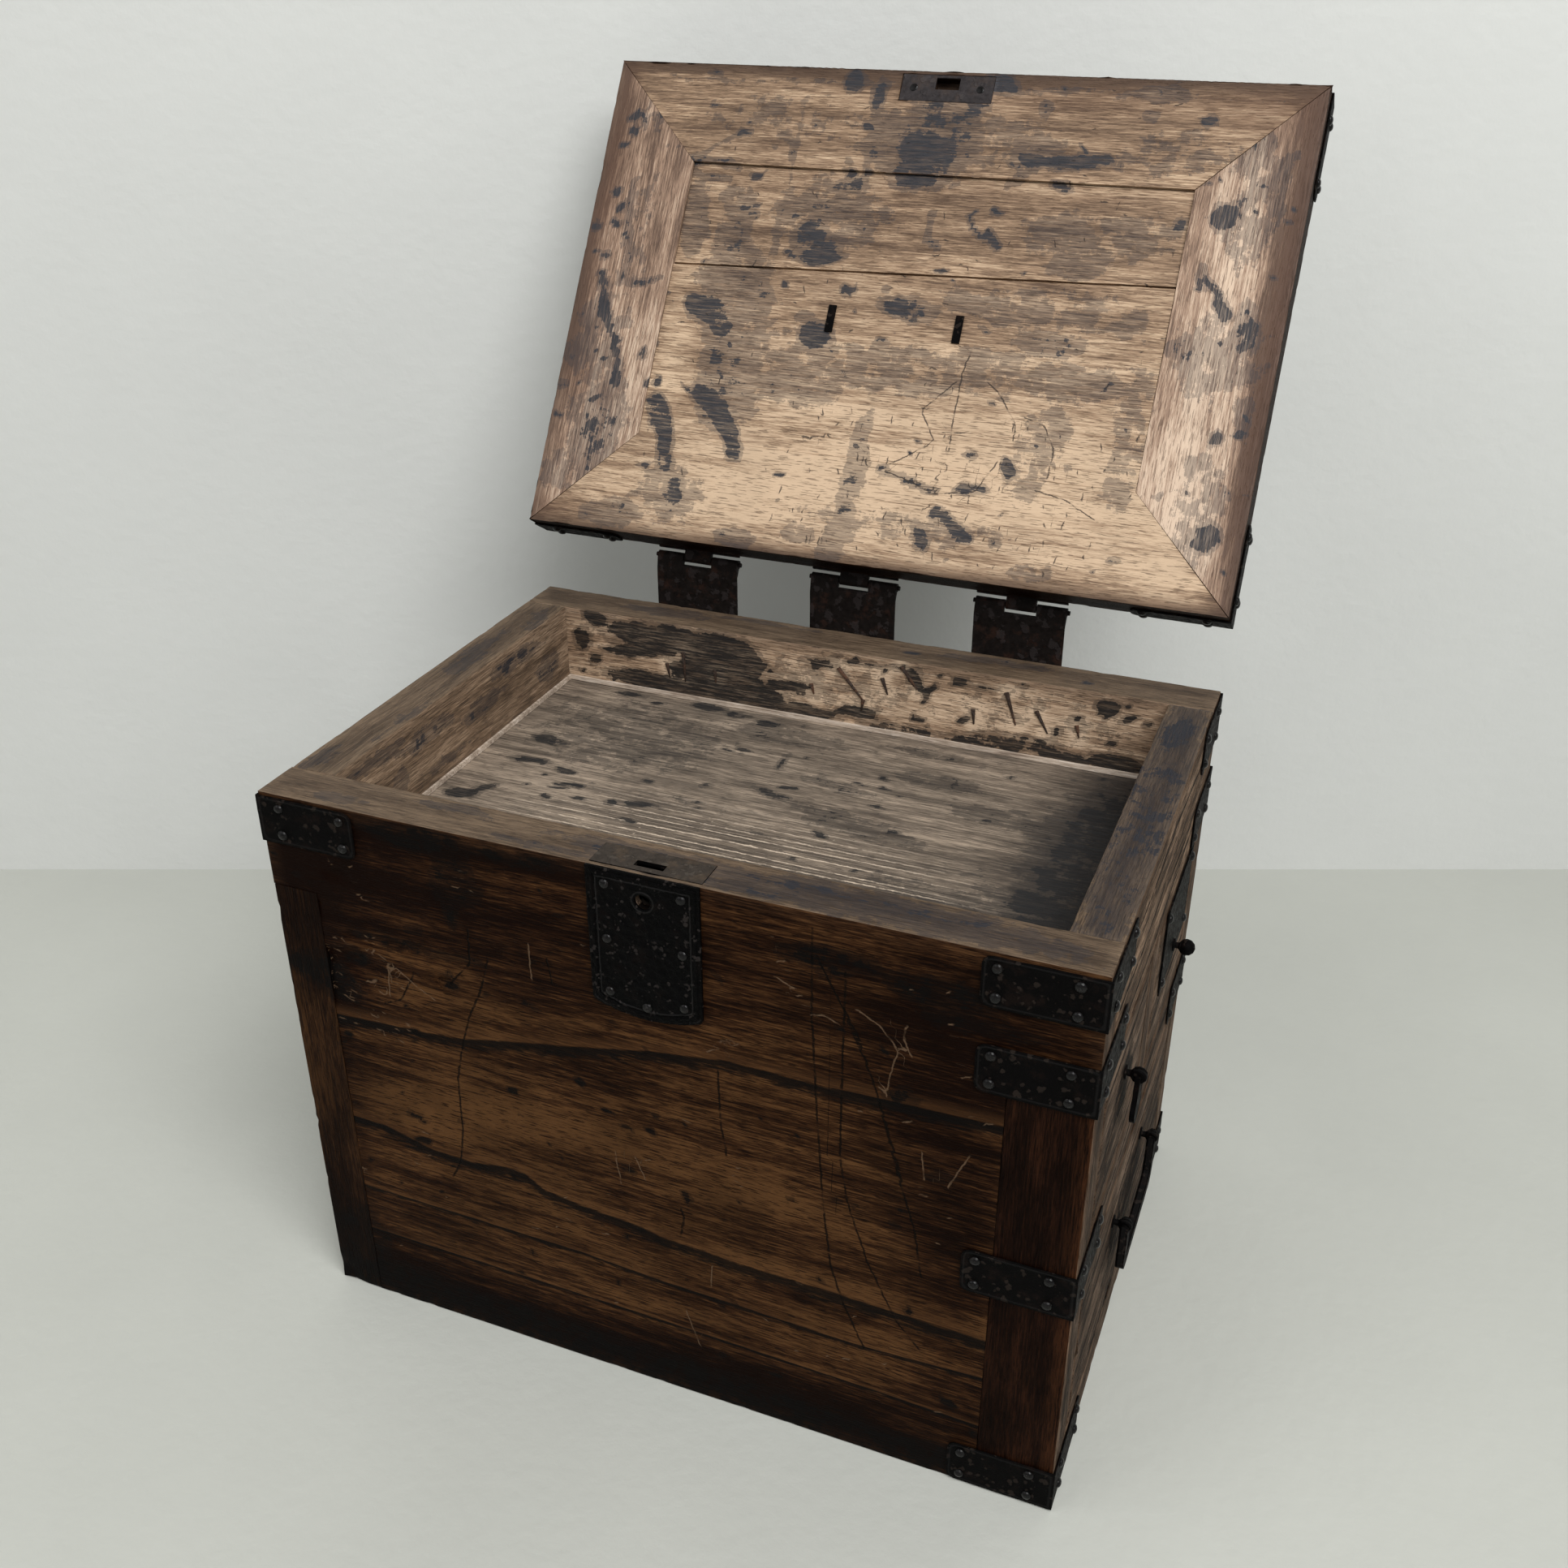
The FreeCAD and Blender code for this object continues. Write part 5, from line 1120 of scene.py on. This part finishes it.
def lap_finish():
    """Left side board where its end shows beside the front board."""
    made = Wood("left lap", "z", LAP_SHADES, streak=0.8, grime=0.4, contrast=1.4, rough=0.5,
                tinted="lap tone")
    made.stained(CHAR, "lap soot")
    return made.closed(0.5, specular=OLD_WAX)


def end_finish(name, grain, shades=SIDE_SHADES):
    """Greasy, deeply cracked timber of the drawer end."""
    made = Wood(name, grain, shades, streak=1.1, grime=0.5, pores=0.9, contrast=1.5, rough=0.75)
    made.rubbed(WORN_END, 0.5)
    made.stained(CHAR, "grease")
    made.ruled("cracks", CUT_DARK, 1.7, share=0.95, depth=2.0)
    return made.closed(0.7, specular=0.05)


def back_wall_finish():
    made = Wood("tray back wall", "x", WALL_SHADES, streak=0.8, grime=0.15, pores=0.7, tinted="tone")
    made.rubbed(WORN_WALL, 0.5)
    made.stained(BLACK, fray=0.85)
    return made.closed(0.7, specular=0.3)


def end_wall_finish():
    made = Wood("tray end walls", "y", SIDE_WALL_SHADES, streak=0.8, grime=0.2, contrast=1.3)
    made.rubbed(WORN_END_WALL, 0.5)
    made.stained(SOOT, "wall soot")
    return made.closed(0.5, specular=0.3)


# ---- marks of the boards --------------------------------------------------------------

def mark_rim(piece, stains, attribute="soot"):
    """Soot and tones of the rim, as one looks down on it."""
    paint(piece, attribute, stains, seen_from_above)
    tint(piece, "rim tone", RIM_TONES, seen_from_above)


def mark_front(piece):
    for attribute, (thickness, route) in FRONT_SEAMS.items():
        rule_seam(piece, attribute, thickness, route)
    tint(piece, "tone", FRONT_TONES, seen_from_front)
    rule_lines(piece, "cuts", FRONT_CUTS, seen_from_front)
    rule_lines(piece, "cross cuts", FRONT_CROSS_CUTS, seen_from_front)
    rule_lines(piece, "pale cuts", FRONT_PALE_CUTS, seen_from_front)
    # Soot, with painted shade inside the keyhole
    paint(piece, "soot", FRONT_SOOT_AND_SHADE, seen_from_front)
    mark_rim(piece, RIM_STAINS, "rim soot")
    chewed_spots(piece, FRONT_PITS + SIDE_NOTCHES)


def mark_back(piece):
    paint(piece, "soot", WALL_STAINS, seen_from_front)
    chips = [(x, z, *CHIP) for ends in CLINCHED_TIPS for x, z in ends]
    tint(piece, "tone", WALL_TONES + chips, seen_from_front)
    mark_rim(piece, RIM_STAINS, "rim soot")


def mark_left_side(piece):
    tint(piece, "lap tone", LAP_TONES, seen_from_front)
    paint(piece, "lap soot", FRONT_SOOT_AND_SHADE, seen_from_front)
    mark_rim(piece, END_RIM_STAINS)
    paint(piece, "wall soot", LEFT_WALL_STAINS, seen_from_right)
    chewed_spots(piece, SIDE_NOTCHES)


def mark_drawer_end(piece):
    rule_lines(piece, "cracks", END_CRACKS, seen_from_right)
    paint(piece, "grease", END_GREASE, seen_from_right)
    mark_rim(piece, END_RIM_STAINS)


def mark_top_rail(piece):
    mark_drawer_end(piece)
    paint(piece, "wall soot", LEFT_WALL_STAINS, seen_from_right)


# ---- the boards -----------------------------------------------------------------------

def front_board(rim, post_side):
    face = front_finish()
    inner = Wood("tray front wall", "x", SIDE_WALL_SHADES, streak=0.7, grime=0.5).closed(0.4)

    def marks(piece):
        only_where(piece, rim, face, on_rim)
        mark_front(piece)

    faces = [(None, face), (-Y_AXIS, face), (Z_AXIS, rim), (Y_AXIS, inner), (X_AXIS, post_side)]
    worn_board("front_board", "carcass", faces, cell=FINE_CELL, marks=marks)


def back_board(rim, post_side):
    outer = plain_finish("outer boards", "x", OUTER_SHADES)
    faces = [(None, outer), (Z_AXIS, rim), (-Y_AXIS, back_wall_finish()), (X_AXIS, post_side)]
    worn_board("back_board", "carcass", faces, cell=BACK_CELL, marks=mark_back)


def left_side_board(rim, wall):
    outer = plain_finish("left end", "y", OUTER_SHADES)
    lap = lap_finish()

    def marks(piece):
        only_where(piece, wall, lap, in_tray)
        only_where(piece, rim, lap, on_rim)
        mark_left_side(piece)

    faces = [(None, outer), (Z_AXIS, rim), (X_AXIS, wall), (-Y_AXIS, lap)]
    worn_board("left_side_board", "carcass", faces, cell=END_CELL, marks=marks)


def drawer_end(rim, wall, post_side):
    """Rails, stile, posts and drawer fronts of the end that the drawers pull out of."""
    side = end_finish("drawer end", "y")
    top = end_finish("top rail", "y", TOP_RAIL_SHADES)
    upright = plain_finish("posts", "z", POST_SHADES, worn=WORN_POST, share=0.5)

    worn_board("top_rail", "carcass", [(None, top), (Z_AXIS, rim), (-X_AXIS, wall)],
               cell=END_CELL, marks=mark_top_rail)
    for node in ("middle_rail", "bottom_rail"):
        worn_board(node, "carcass", [(None, side)], cell=RAIL_CELL,
                   nick=END_NICK, marks=mark_drawer_end)
    worn_board("centre_stile", "carcass", [(None, post_side)],
               nick=END_NICK, marks=mark_drawer_end)
    for node in ("front_post", "back_post"):
        worn_board(node, "carcass", [(None, upright), (X_AXIS, post_side)],
                   cell=RAIL_CELL, marks=mark_drawer_end)
    for drawer in DRAWERS:
        worn_board(drawer + "_front", drawer, [(None, side)], cell=END_CELL,
                   nick=DRAWER_NICK, marks=mark_drawer_end)


def inner_boards():
    """Boards that keep their own mesh: the bead, the shelves and the drawers' boxes."""
    plain = Wood("inner boards", "x", DRAWER_SHADES, grime=0.3, rough=0.75).closed(0.3)
    dress_node("tray_bead", Wood("tray bead", "x", BEAD_SHADES, grime=0.3).closed(0.2))
    for node in ("bottom_board", "drawer_shelf", "drawer_partition", "drawer_guides"):
        dress_node(node, plain)
    for drawer in DRAWERS:
        for part in ("_sides", "_back", "_bottom"):
            dress_node(drawer + part, plain)


def carcass_boards():
    rim = rim_finish("rim", "x", "rim soot")
    end_rim = rim_finish("end rim", "y")
    end_wall = end_wall_finish()
    post_side = end_finish("post sides", "z")
    front_board(rim, post_side)
    back_board(rim, post_side)
    left_side_board(end_rim, end_wall)
    drawer_end(end_rim, end_wall, post_side)
    inner_boards()


# ---- the tray's floor -----------------------------------------------------------------

def hard_rings():
    """Thin hard rings that stand bare on the tray's floor: lines along it, from front to back."""
    chance = np.random.default_rng(8)
    rings = []
    place = FIRST_RING
    while place < LAST_RING:
        sway = chance.uniform(-1.2, 1.2, len(RING_STATIONS)).cumsum()
        rings.append([(x, place + drift) for x, drift in zip(RING_STATIONS, sway)])
        place += chance.uniform(5.5, 8.5)
    return rings


def floor_grid():
    """Fine flat mesh at the top of the tray's floor."""
    low, high = TRAY_LOW, TRAY_HIGH
    bpy.ops.object.select_all(action="DESELECT")
    bpy.ops.mesh.primitive_grid_add(x_subdivisions=100, y_subdivisions=240, size=1)
    piece = bpy.context.object
    piece.name = "tray_floor_ridged"
    edit(piece)
    bpy.ops.transform.resize(value=(high.x - low.x, high.y - low.y, 1))
    bpy.ops.transform.translate(value=((low.x + high.x) / 2, (low.y + high.y) / 2, high.z))
    leave_edit()
    return piece


def raise_ridges(piece):
    """Noise drawn out along the grain wears the soft wood down between its rings."""
    stretch = bpy.data.objects.new("ridges", None)
    bpy.context.collection.objects.link(stretch)
    stretch.scale = (RIDGE_STRETCH, 1, RIDGE_STRETCH)
    bpy.context.view_layer.update()
    apply_modifier(piece, "DISPLACE", texture=cloud("ridges", 3.5 * MM, contrast=1.5),
                   strength=-RIDGE_DEPTH, mid_level=0.0, direction="Z", texture_coords="OBJECT",
                   texture_coords_object=stretch)
    bpy.data.objects.remove(stretch)


def floor_finish():
    made = Wood("tray floor", "x", FLOOR_SHADES, streak=0.9, wander=4.0, grime=0.2, rough=0.65,
                tinted="tone")
    ring = made.group(LINE, Gap=made.attribute("ring"), Weight=made.attribute("bare"), Width=0.80,
                      Vector=made.place)[0]
    made.layer(ring, BARE_RING, 0.85)
    made.carve(ring, -1.0)
    # Ink stains, and the painted shadow at the tray's right end
    made.stained(FLOOR_INK_AND_SHADOW, fray=1.2)
    return made.closed(0.4, specular=0.3)


def tray_floor():
    """Soft timber whose hard rings stand proud in long ridges."""
    piece = floor_grid()
    rule_lines(piece, "ring", hard_rings(), seen_from_above)
    place = points_of(piece) / MM
    (x, y), (reach_x, reach_y) = BARE_PATCH
    bare = np.exp(-(((place[:, 0] - x) / reach_x) ** 4 + ((place[:, 1] - y) / reach_y) ** 2))
    write_attribute(piece, "bare", bare)
    raise_ridges(piece)
    # Ink, soot and the painted shadow of the right end wall
    paint(piece, "soot", FLOOR_STAINS_AND_SHADOW, seen_from_above)
    tint(piece, "tone", FLOOR_TONES_AND_SHADOW, seen_from_above)
    thickness = TRAY_HIGH.z - TRAY_LOW.z - RIDGE_ROOM
    apply_modifier(piece, "SOLIDIFY", thickness=thickness, offset=-1)
    cover(piece, floor_finish())
    smooth(piece, 60)
    finished(piece, "carcass", "tray_floor")


# ======================================================================================
# Lid
# ======================================================================================

def under_lid_finish(name, grain, shades):
    made = Wood(name, grain, shades, streak=0.9, wander=5.0, grime=0.12, pores=0.6, tinted="tone",
                on_lid=True)
    made.layer(made.attribute("ruddy"), RUDDY, 0.75)
    made.rubbed(WORN_LID, 0.8)
    made.stained(SOOT, fray=0.9)
    if grain == "x":
        made.ruled("cuts", LID_CUT, 0.55)
        made.ruled("cross cuts", LID_CUT, 0.5)
    return made.closed(0.35, specular=0.35)


def mark_lid(piece, stains):
    paint(piece, "soot", stains, seen_under_lid)
    # Tones, with the painted sheen toward the hinge
    tint(piece, "tone", LID_TONES_AND_SHEEN, seen_under_lid)
    tint(piece, "ruddy", LID_RUDDY, seen_under_lid)
    rule_lines(piece, "cuts", LID_CUTS, seen_under_lid)
    rule_lines(piece, "cross cuts", LID_CROSS_CUTS, seen_under_lid)


def outside_of_lid(place):
    return outermost(place, True) or place.z > LID_MIDDLE


def lid():
    outer = plain_finish("lid edge", "x", POST_SHADES, on_lid=True)
    top = plain_finish("lid top", "x", OUTER_SHADES, on_lid=True)
    top_y = plain_finish("lid top stiles", "y", OUTER_SHADES, on_lid=True)
    under = under_lid_finish("lid underside", "x", LID_SHADES)
    under_y = under_lid_finish("lid underside stiles", "y", STILE_SHADES)

    boards = [("lid_front_rail", top, under, LID_STAINS),
              ("lid_back_rail", top, under, LID_STAINS),
              ("lid_front_panel", top, under, LID_STAINS),
              ("lid_back_panel", top, under, LID_STAINS),
              ("lid_left_stile", top_y, under_y, LID_LEFT_STAINS),
              ("lid_right_stile", top_y, under_y, LID_RIGHT_STAINS)]
    for node, upper, lower, stains in boards:
        def marks(piece):
            only_where(piece, outer, lower, outside_of_lid)
            mark_lid(piece, stains)

        faces = [(None, outer), (Z_AXIS, upper), (-Z_AXIS, lower)]
        worn_board(node, "lid", faces, cell=FINE_CELL, ease=LID_EASE, nick=LID_NICK,
                   marks=marks)


# ======================================================================================
# Ironwork
# ======================================================================================

def hammered(node, body, finish, cell, ease, depth):
    """A forged piece in place of its CAD node: eased arrises and hammer marks."""
    piece = copy_of(node, node + "_forged")
    ease_iron(piece, ease)
    if cell:
        cut_into_cells(piece, cell)
    mark_arrises(piece)
    cover(piece, finish)
    dent(piece, HAMMER_NOISE, depth)
    smooth(piece, 50)
    finished(piece, body, node)


def lock_plate(finish):
    """Plate so pitted that what is left of its skin stands in small round lumps."""
    piece = copy_of("lock_plate", "lock_plate_pitted")
    ease_iron(piece, 0.35 * MM)
    cut_into_cells(piece, 0.8 * MM)
    mark_arrises(piece)
    cover(piece, finish)
    front = min(vertex.co.y for vertex in piece.data.vertices) + PLATE_FACE
    face = [vertex.index for vertex in piece.data.vertices if vertex.co.y < front]
    piece.vertex_groups.new(name="face").add(face, 1.0, "REPLACE")
    apply_modifier(piece, "DISPLACE", texture=PIT_NOISE, strength=-PIT_DEPTH, mid_level=0.0,
                   direction="Y", vertex_group="face")
    smooth(piece, 60)
    finished(piece, "carcass", "lock_plate")


def lock_case(inside, top):
    """Case let into the front board; only its top plate is bare in the rim."""
    piece = copy_of("lock_case", "lock_case_let_in")
    dress(piece, [(None, inside), (Z_AXIS, top)])
    smooth(piece)
    finished(piece, "carcass", "lock_case")


# ---- nails ----------------------------------------------------------------------------

def nail_head():
    """One hand-forged nail head, 1 high and 1 in radius, standing along +Z."""
    bpy.ops.object.select_all(action="DESELECT")
    bpy.ops.mesh.primitive_uv_sphere_add(segments=12, ring_count=8, radius=1)
    piece = bpy.context.object
    edit(piece)
    bpy.ops.mesh.bisect(plane_co=(0, 0, 0), plane_no=(0, 0, 1), clear_inner=True, use_fill=True)
    leave_edit()
    return piece


def islands(node):
    """Points of each separate solid of a CAD node."""
    shape = bmesh.new()
    shape.from_mesh(frame["nodes"][node].data)
    bmesh.ops.remove_doubles(shape, verts=shape.verts, dist=0.01 * MM)
    unseen = set(shape.verts)
    groups = []
    while unseen:
        front = [unseen.pop()]
        found = list(front)
        while front:
            for edge in front.pop().link_edges:
                for vertex in edge.verts:
                    if vertex in unseen:
                        unseen.remove(vertex)
                        front.append(vertex)
                        found.append(vertex)
        groups.append(np.array([vertex.co for vertex in found]))
    shape.free()
    return groups


def nail_place(points, to_shut, on_lid):
    """How a nail stands with the lid shut: its foot, the way it points, radius and height."""
    shut = np.array([to_shut @ Vector(point) for point in points])
    low, high = shut.min(0), shut.max(0)
    size = high - low
    axis = int(np.argmin(size))
    centre = Vector((low + high) / 2)
    middle = LID_NAIL_LEVEL if on_lid and axis == 2 else CHEST_MIDDLE[axis]
    outward = Vector((0, 0, 0))
    outward[axis] = 1 if centre[axis] > middle else -1
    foot = centre - outward * size[axis] / 2
    return foot, outward, size[(axis + 1) % 3] / 2, size[axis]


def nail_heads(node, body, finish, pattern, seed):
    """Domed heads in place of a CAD node's nails, each a little different."""
    chance = np.random.default_rng(seed)
    to_shut = SHUT if body == "lid" else Matrix.Identity(4)
    back = to_shut.inverted()
    heads = []
    for points in sorted(islands(node), key=lambda group: tuple(group.mean(0))):
        foot, outward, radius, height = nail_place(points, to_shut, body == "lid")
        spin = Matrix.Rotation(chance.uniform(0, 6), 4, "Z")
        tilt = Matrix.Rotation(chance.uniform(-0.08, 0.08), 4, "X")
        turn = outward.to_track_quat("Z", "Y").to_matrix().to_4x4()
        wide = radius * chance.uniform(0.9, 1.0)
        deep = radius * chance.uniform(0.86, 1.0)
        scale = Matrix.Diagonal((wide, deep, height, 1))
        head = bpy.data.objects.new(node + "_head", pattern.data.copy())
        bpy.context.collection.objects.link(head)
        head.data.transform(back @ Matrix.Translation(foot) @ turn @ tilt @ spin @ scale)
        heads.append(head)
    piece = joined(heads, node + "_domed")
    cover(piece, finish)
    smooth(piece, 60)
    finished(piece, body, node)


def clinched_tips(finish):
    """Points of long nails, come through the back board and hammered over."""
    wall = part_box("back_board")[0].y
    tips = []
    for (x, z), (x_end, z_end) in CLINCHED_TIPS:
        start = Vector((x, 0, z)) * MM
        end = Vector((x_end, 0, z_end)) * MM
        run = end - start
        bpy.ops.object.select_all(action="DESELECT")
        bpy.ops.mesh.primitive_cone_add(vertices=6, radius1=TIP_ROOT, radius2=TIP_POINT,
                                        depth=run.length)
        tip = bpy.context.object
        middle = (start + end) / 2 + Vector((0, wall + TIP_SINK, 0))
        turn = run.to_track_quat("Z", "Y").to_matrix().to_4x4()
        tip.data.transform(Matrix.Translation(middle) @ turn)
        tips.append(tip)
    piece = joined(tips, "clinched_nail_tips")
    apply_modifier(piece, "BEVEL", width=0.35 * MM, segments=2, limit_method="ANGLE")
    cover(piece, finish)
    smooth(piece, 50)
    finished(piece, "carcass")


# ---- all of the ironwork --------------------------------------------------------------

def straps_and_plates():
    strap = iron("strap iron", pit=4.0, spread=0.54, dark=(0.0030, 0.0027, 0.0027),
                 worn=(0.050, 0.037, 0.030), rough=0.55, specular=0.03, line=0.07)
    # The lock plate's pale lumps are worn skin and painted glints on its pitted face
    plate = iron("lock plate iron", pit=2.8, spread=0.57, relief=0.5,
                 dark=(0.0022, 0.0021, 0.0022), rust_share=0.2, worn=(0.050, 0.042, 0.039),
                 worn_and_glint_share=0.40, rough=0.34, specular=0.03, line=0.14)
    catch = iron("catch iron", pit=5.0, spread=0.56, dark=(0.048, 0.042, 0.043),
                 rust=(0.062, 0.045, 0.037), worn=(0.08, 0.07, 0.068), rough=0.5)
    rim_plate = iron("rim plate", pit=5.0, spread=0.54, dark=(0.050, 0.041, 0.034),
                     rust=(0.085, 0.060, 0.040), worn=(0.10, 0.085, 0.07), rough=0.5)

    straps = ["strap_front_left", "strap_back_left", "straps_back_right"]
    straps += ["strap_front_right_%d" % number for number in range(1, 5)]
    for node in straps:
        hammered(node, "carcass", strap, cell=2.2 * MM, ease=0.4 * MM, depth=0.35 * MM)
    hammered("lid_corner_straps", "lid", strap, cell=3 * MM, ease=0.4 * MM, depth=0.3 * MM)
    hammered("drawer_lock_plate", "back_drawer", strap, cell=3 * MM, ease=0.4 * MM,
             depth=0.35 * MM)
    hammered("catch_plate", "lid", catch, cell=2 * MM, ease=0.3 * MM, depth=0.2 * MM)
    lock_plate(plate)
    lock_case(strap, rim_plate)
    dress_node("lock_bolt", strap)
    return strap


def hinges():
    hinge = iron("hinge iron", pit=9.0, spread=0.50, dark=(0.012, 0.0095, 0.0085),
                 rust=(0.028, 0.0145, 0.0105), rust_share=0.8, worn=(0.05, 0.042, 0.042),
                 rough=0.55)
    for node, body in (("hinge_body_leaves", "carcass"), ("hinge_lid_leaves", "lid")):
        hammered(node, body, hinge, cell=3 * MM, ease=0.3 * MM, depth=0.3 * MM)
    dress_node("hinge_pins", hinge)


def pulls(strap):
    for node in ("lower_bail", "drop_pull", "lid_bail"):
        hammered(node, node, strap, cell=1.6 * MM, ease=1.0 * MM, depth=0.25 * MM)
    for node, body in (("lower_bail_posts", "lower_drawer"), ("drop_pull_post", "front_drawer"),
                       ("drawer_knob", "back_drawer"), ("lid_bail_posts", "lid")):
        hammered(node, body, strap, cell=0, ease=0.25 * MM, depth=0.1 * MM)


def nails():
    bright = iron("nail iron", pit=1.2, spread=0.6, relief=0.12, dark=(0.0055, 0.0050, 0.0050),
                  rust_share=0.3, worn_and_glint_share=0.2, rough=0.26, specular=0.2)
    tip = iron("clinched tip iron", pit=2.0, spread=0.5, dark=(0.055, 0.038, 0.030),
               rust=(0.12, 0.062, 0.038), rust_share=0.8, rough=0.6)
    pattern = nail_head()
    nail_heads("body_nails", "carcass", bright, pattern, 1)
    nail_heads("lid_nails", "lid", bright, pattern, 2)
    nail_heads("drawer_nails", "back_drawer", bright, pattern, 3)
    bpy.data.objects.remove(pattern)
    clinched_tips(tip)


def ironwork():
    strap = straps_and_plates()
    hinges()
    pulls(strap)
    nails()


# ======================================================================================
# Room, light and camera
# ======================================================================================

CAMERA_PLACE = Vector((0.3052, -0.7376, 0.7533))
CAMERA_AZIMUTH = math.radians(21.847)
CAMERA_TILT = math.radians(61.368)
CAMERA_LENS = 36.95
WALL_AWAY = 1.222                    # wall in front of the camera, square to its heading
ROOM_SIZE = 8
FLOOR_GAP = 0.4 * MM                 # by which the floor stays clear of the chest's feet
LIGHT_AIM = Vector((0, 0, 0.3))
FLOOR_PAINT = (0.53, 0.54, 0.495)
WALL_PAINT = (0.70, 0.71, 0.685)


def room_paint(name, colour, scale):
    """Pale paint with slow patches, a little rough."""
    made = Surface(name)
    patches = made.noise(made.place, scale, 5.0, 0.6)
    made.colour = made.ramp(patches, (0.3, [0.93 * part for part in colour]), (0.7, colour))
    made.rough = 0.8
    made.height = made.noise(made.place, 0.10, 4.0)
    return made.closed(0.5)


def seen_from_one_side(material):
    """Clear from behind, so that the wall never stands in front of the chest."""
    finish = Finish(material.node_tree)
    output = next(node for node in finish.tree.nodes if node.type == "OUTPUT_MATERIAL")
    paint_coat = output.inputs["Surface"].links[0].from_socket
    behind = finish.node("NewGeometry").outputs["Backfacing"]
    clear = finish.node("BsdfTransparent").outputs[0]
    mixed = finish.node("MixShader", {0: behind, 1: paint_coat, 2: clear}).outputs[0]
    finish.tree.links.new(mixed, output.inputs["Surface"])
    return material


def room():
    """Plain pale floor, and a plain wall that the open lid almost touches."""
    heading = Vector((-math.sin(CAMERA_AZIMUTH), math.cos(CAMERA_AZIMUTH), 0))
    spot = CAMERA_PLACE + heading * WALL_AWAY
    bpy.ops.object.select_all(action="DESELECT")
    bpy.ops.mesh.primitive_plane_add(size=ROOM_SIZE, location=(0, 0, -FLOOR_GAP))
    floor = bpy.context.object
    floor.name = "floor"
    floor.data.materials.append(room_paint("painted floor", FLOOR_PAINT, 0.004))
    bpy.ops.mesh.primitive_plane_add(size=ROOM_SIZE, location=(spot.x, spot.y, 0),
                                     rotation=(math.radians(90), 0, CAMERA_AZIMUTH))
    wall = bpy.context.object
    wall.name = "wall"
    wall.data.materials.append(seen_from_one_side(room_paint("painted wall", WALL_PAINT, 0.003)))


def soft_box(name, place, side, power):
    """Square area light that looks at the middle of the chest."""
    data = bpy.data.lights.new(name, "AREA")
    data.shape = "RECTANGLE"
    data.size = side
    data.size_y = side
    data.energy = power
    lamp = bpy.data.objects.new(name, data)
    bpy.context.collection.objects.link(lamp)
    lamp.location = place
    lamp.rotation_euler = (LIGHT_AIM - Vector(place)).to_track_quat("-Z", "Y").to_euler()


def lights():
    soft_box("main light", (1.3, -1.3, 2.4), side=1.6, power=72)
    soft_box("fill light", (-1.6, -1.5, 1.9), side=2.0, power=14)
    world = bpy.data.worlds.new("soft room")
    bpy.context.scene.world = world
    world.use_nodes = True
    background = world.node_tree.nodes["Background"]
    background.inputs["Color"].default_value = (1, 1, 1, 1)
    background.inputs["Strength"].default_value = 0.33


def camera():
    data = bpy.data.cameras.new("camera")
    data.sensor_width = 36
    data.lens = CAMERA_LENS
    view = bpy.data.objects.new("camera", data)
    bpy.context.collection.objects.link(view)
    view.location = CAMERA_PLACE
    view.rotation_euler = Euler((CAMERA_TILT, 0, CAMERA_AZIMUTH))
    bpy.context.scene.camera = view


carcass_boards()
tray_floor()
lid()
ironwork()
room()
lights()
camera()

bpy.context.scene.view_settings.view_transform = "Standard"
bpy.ops.object.select_all(action="DESELECT")
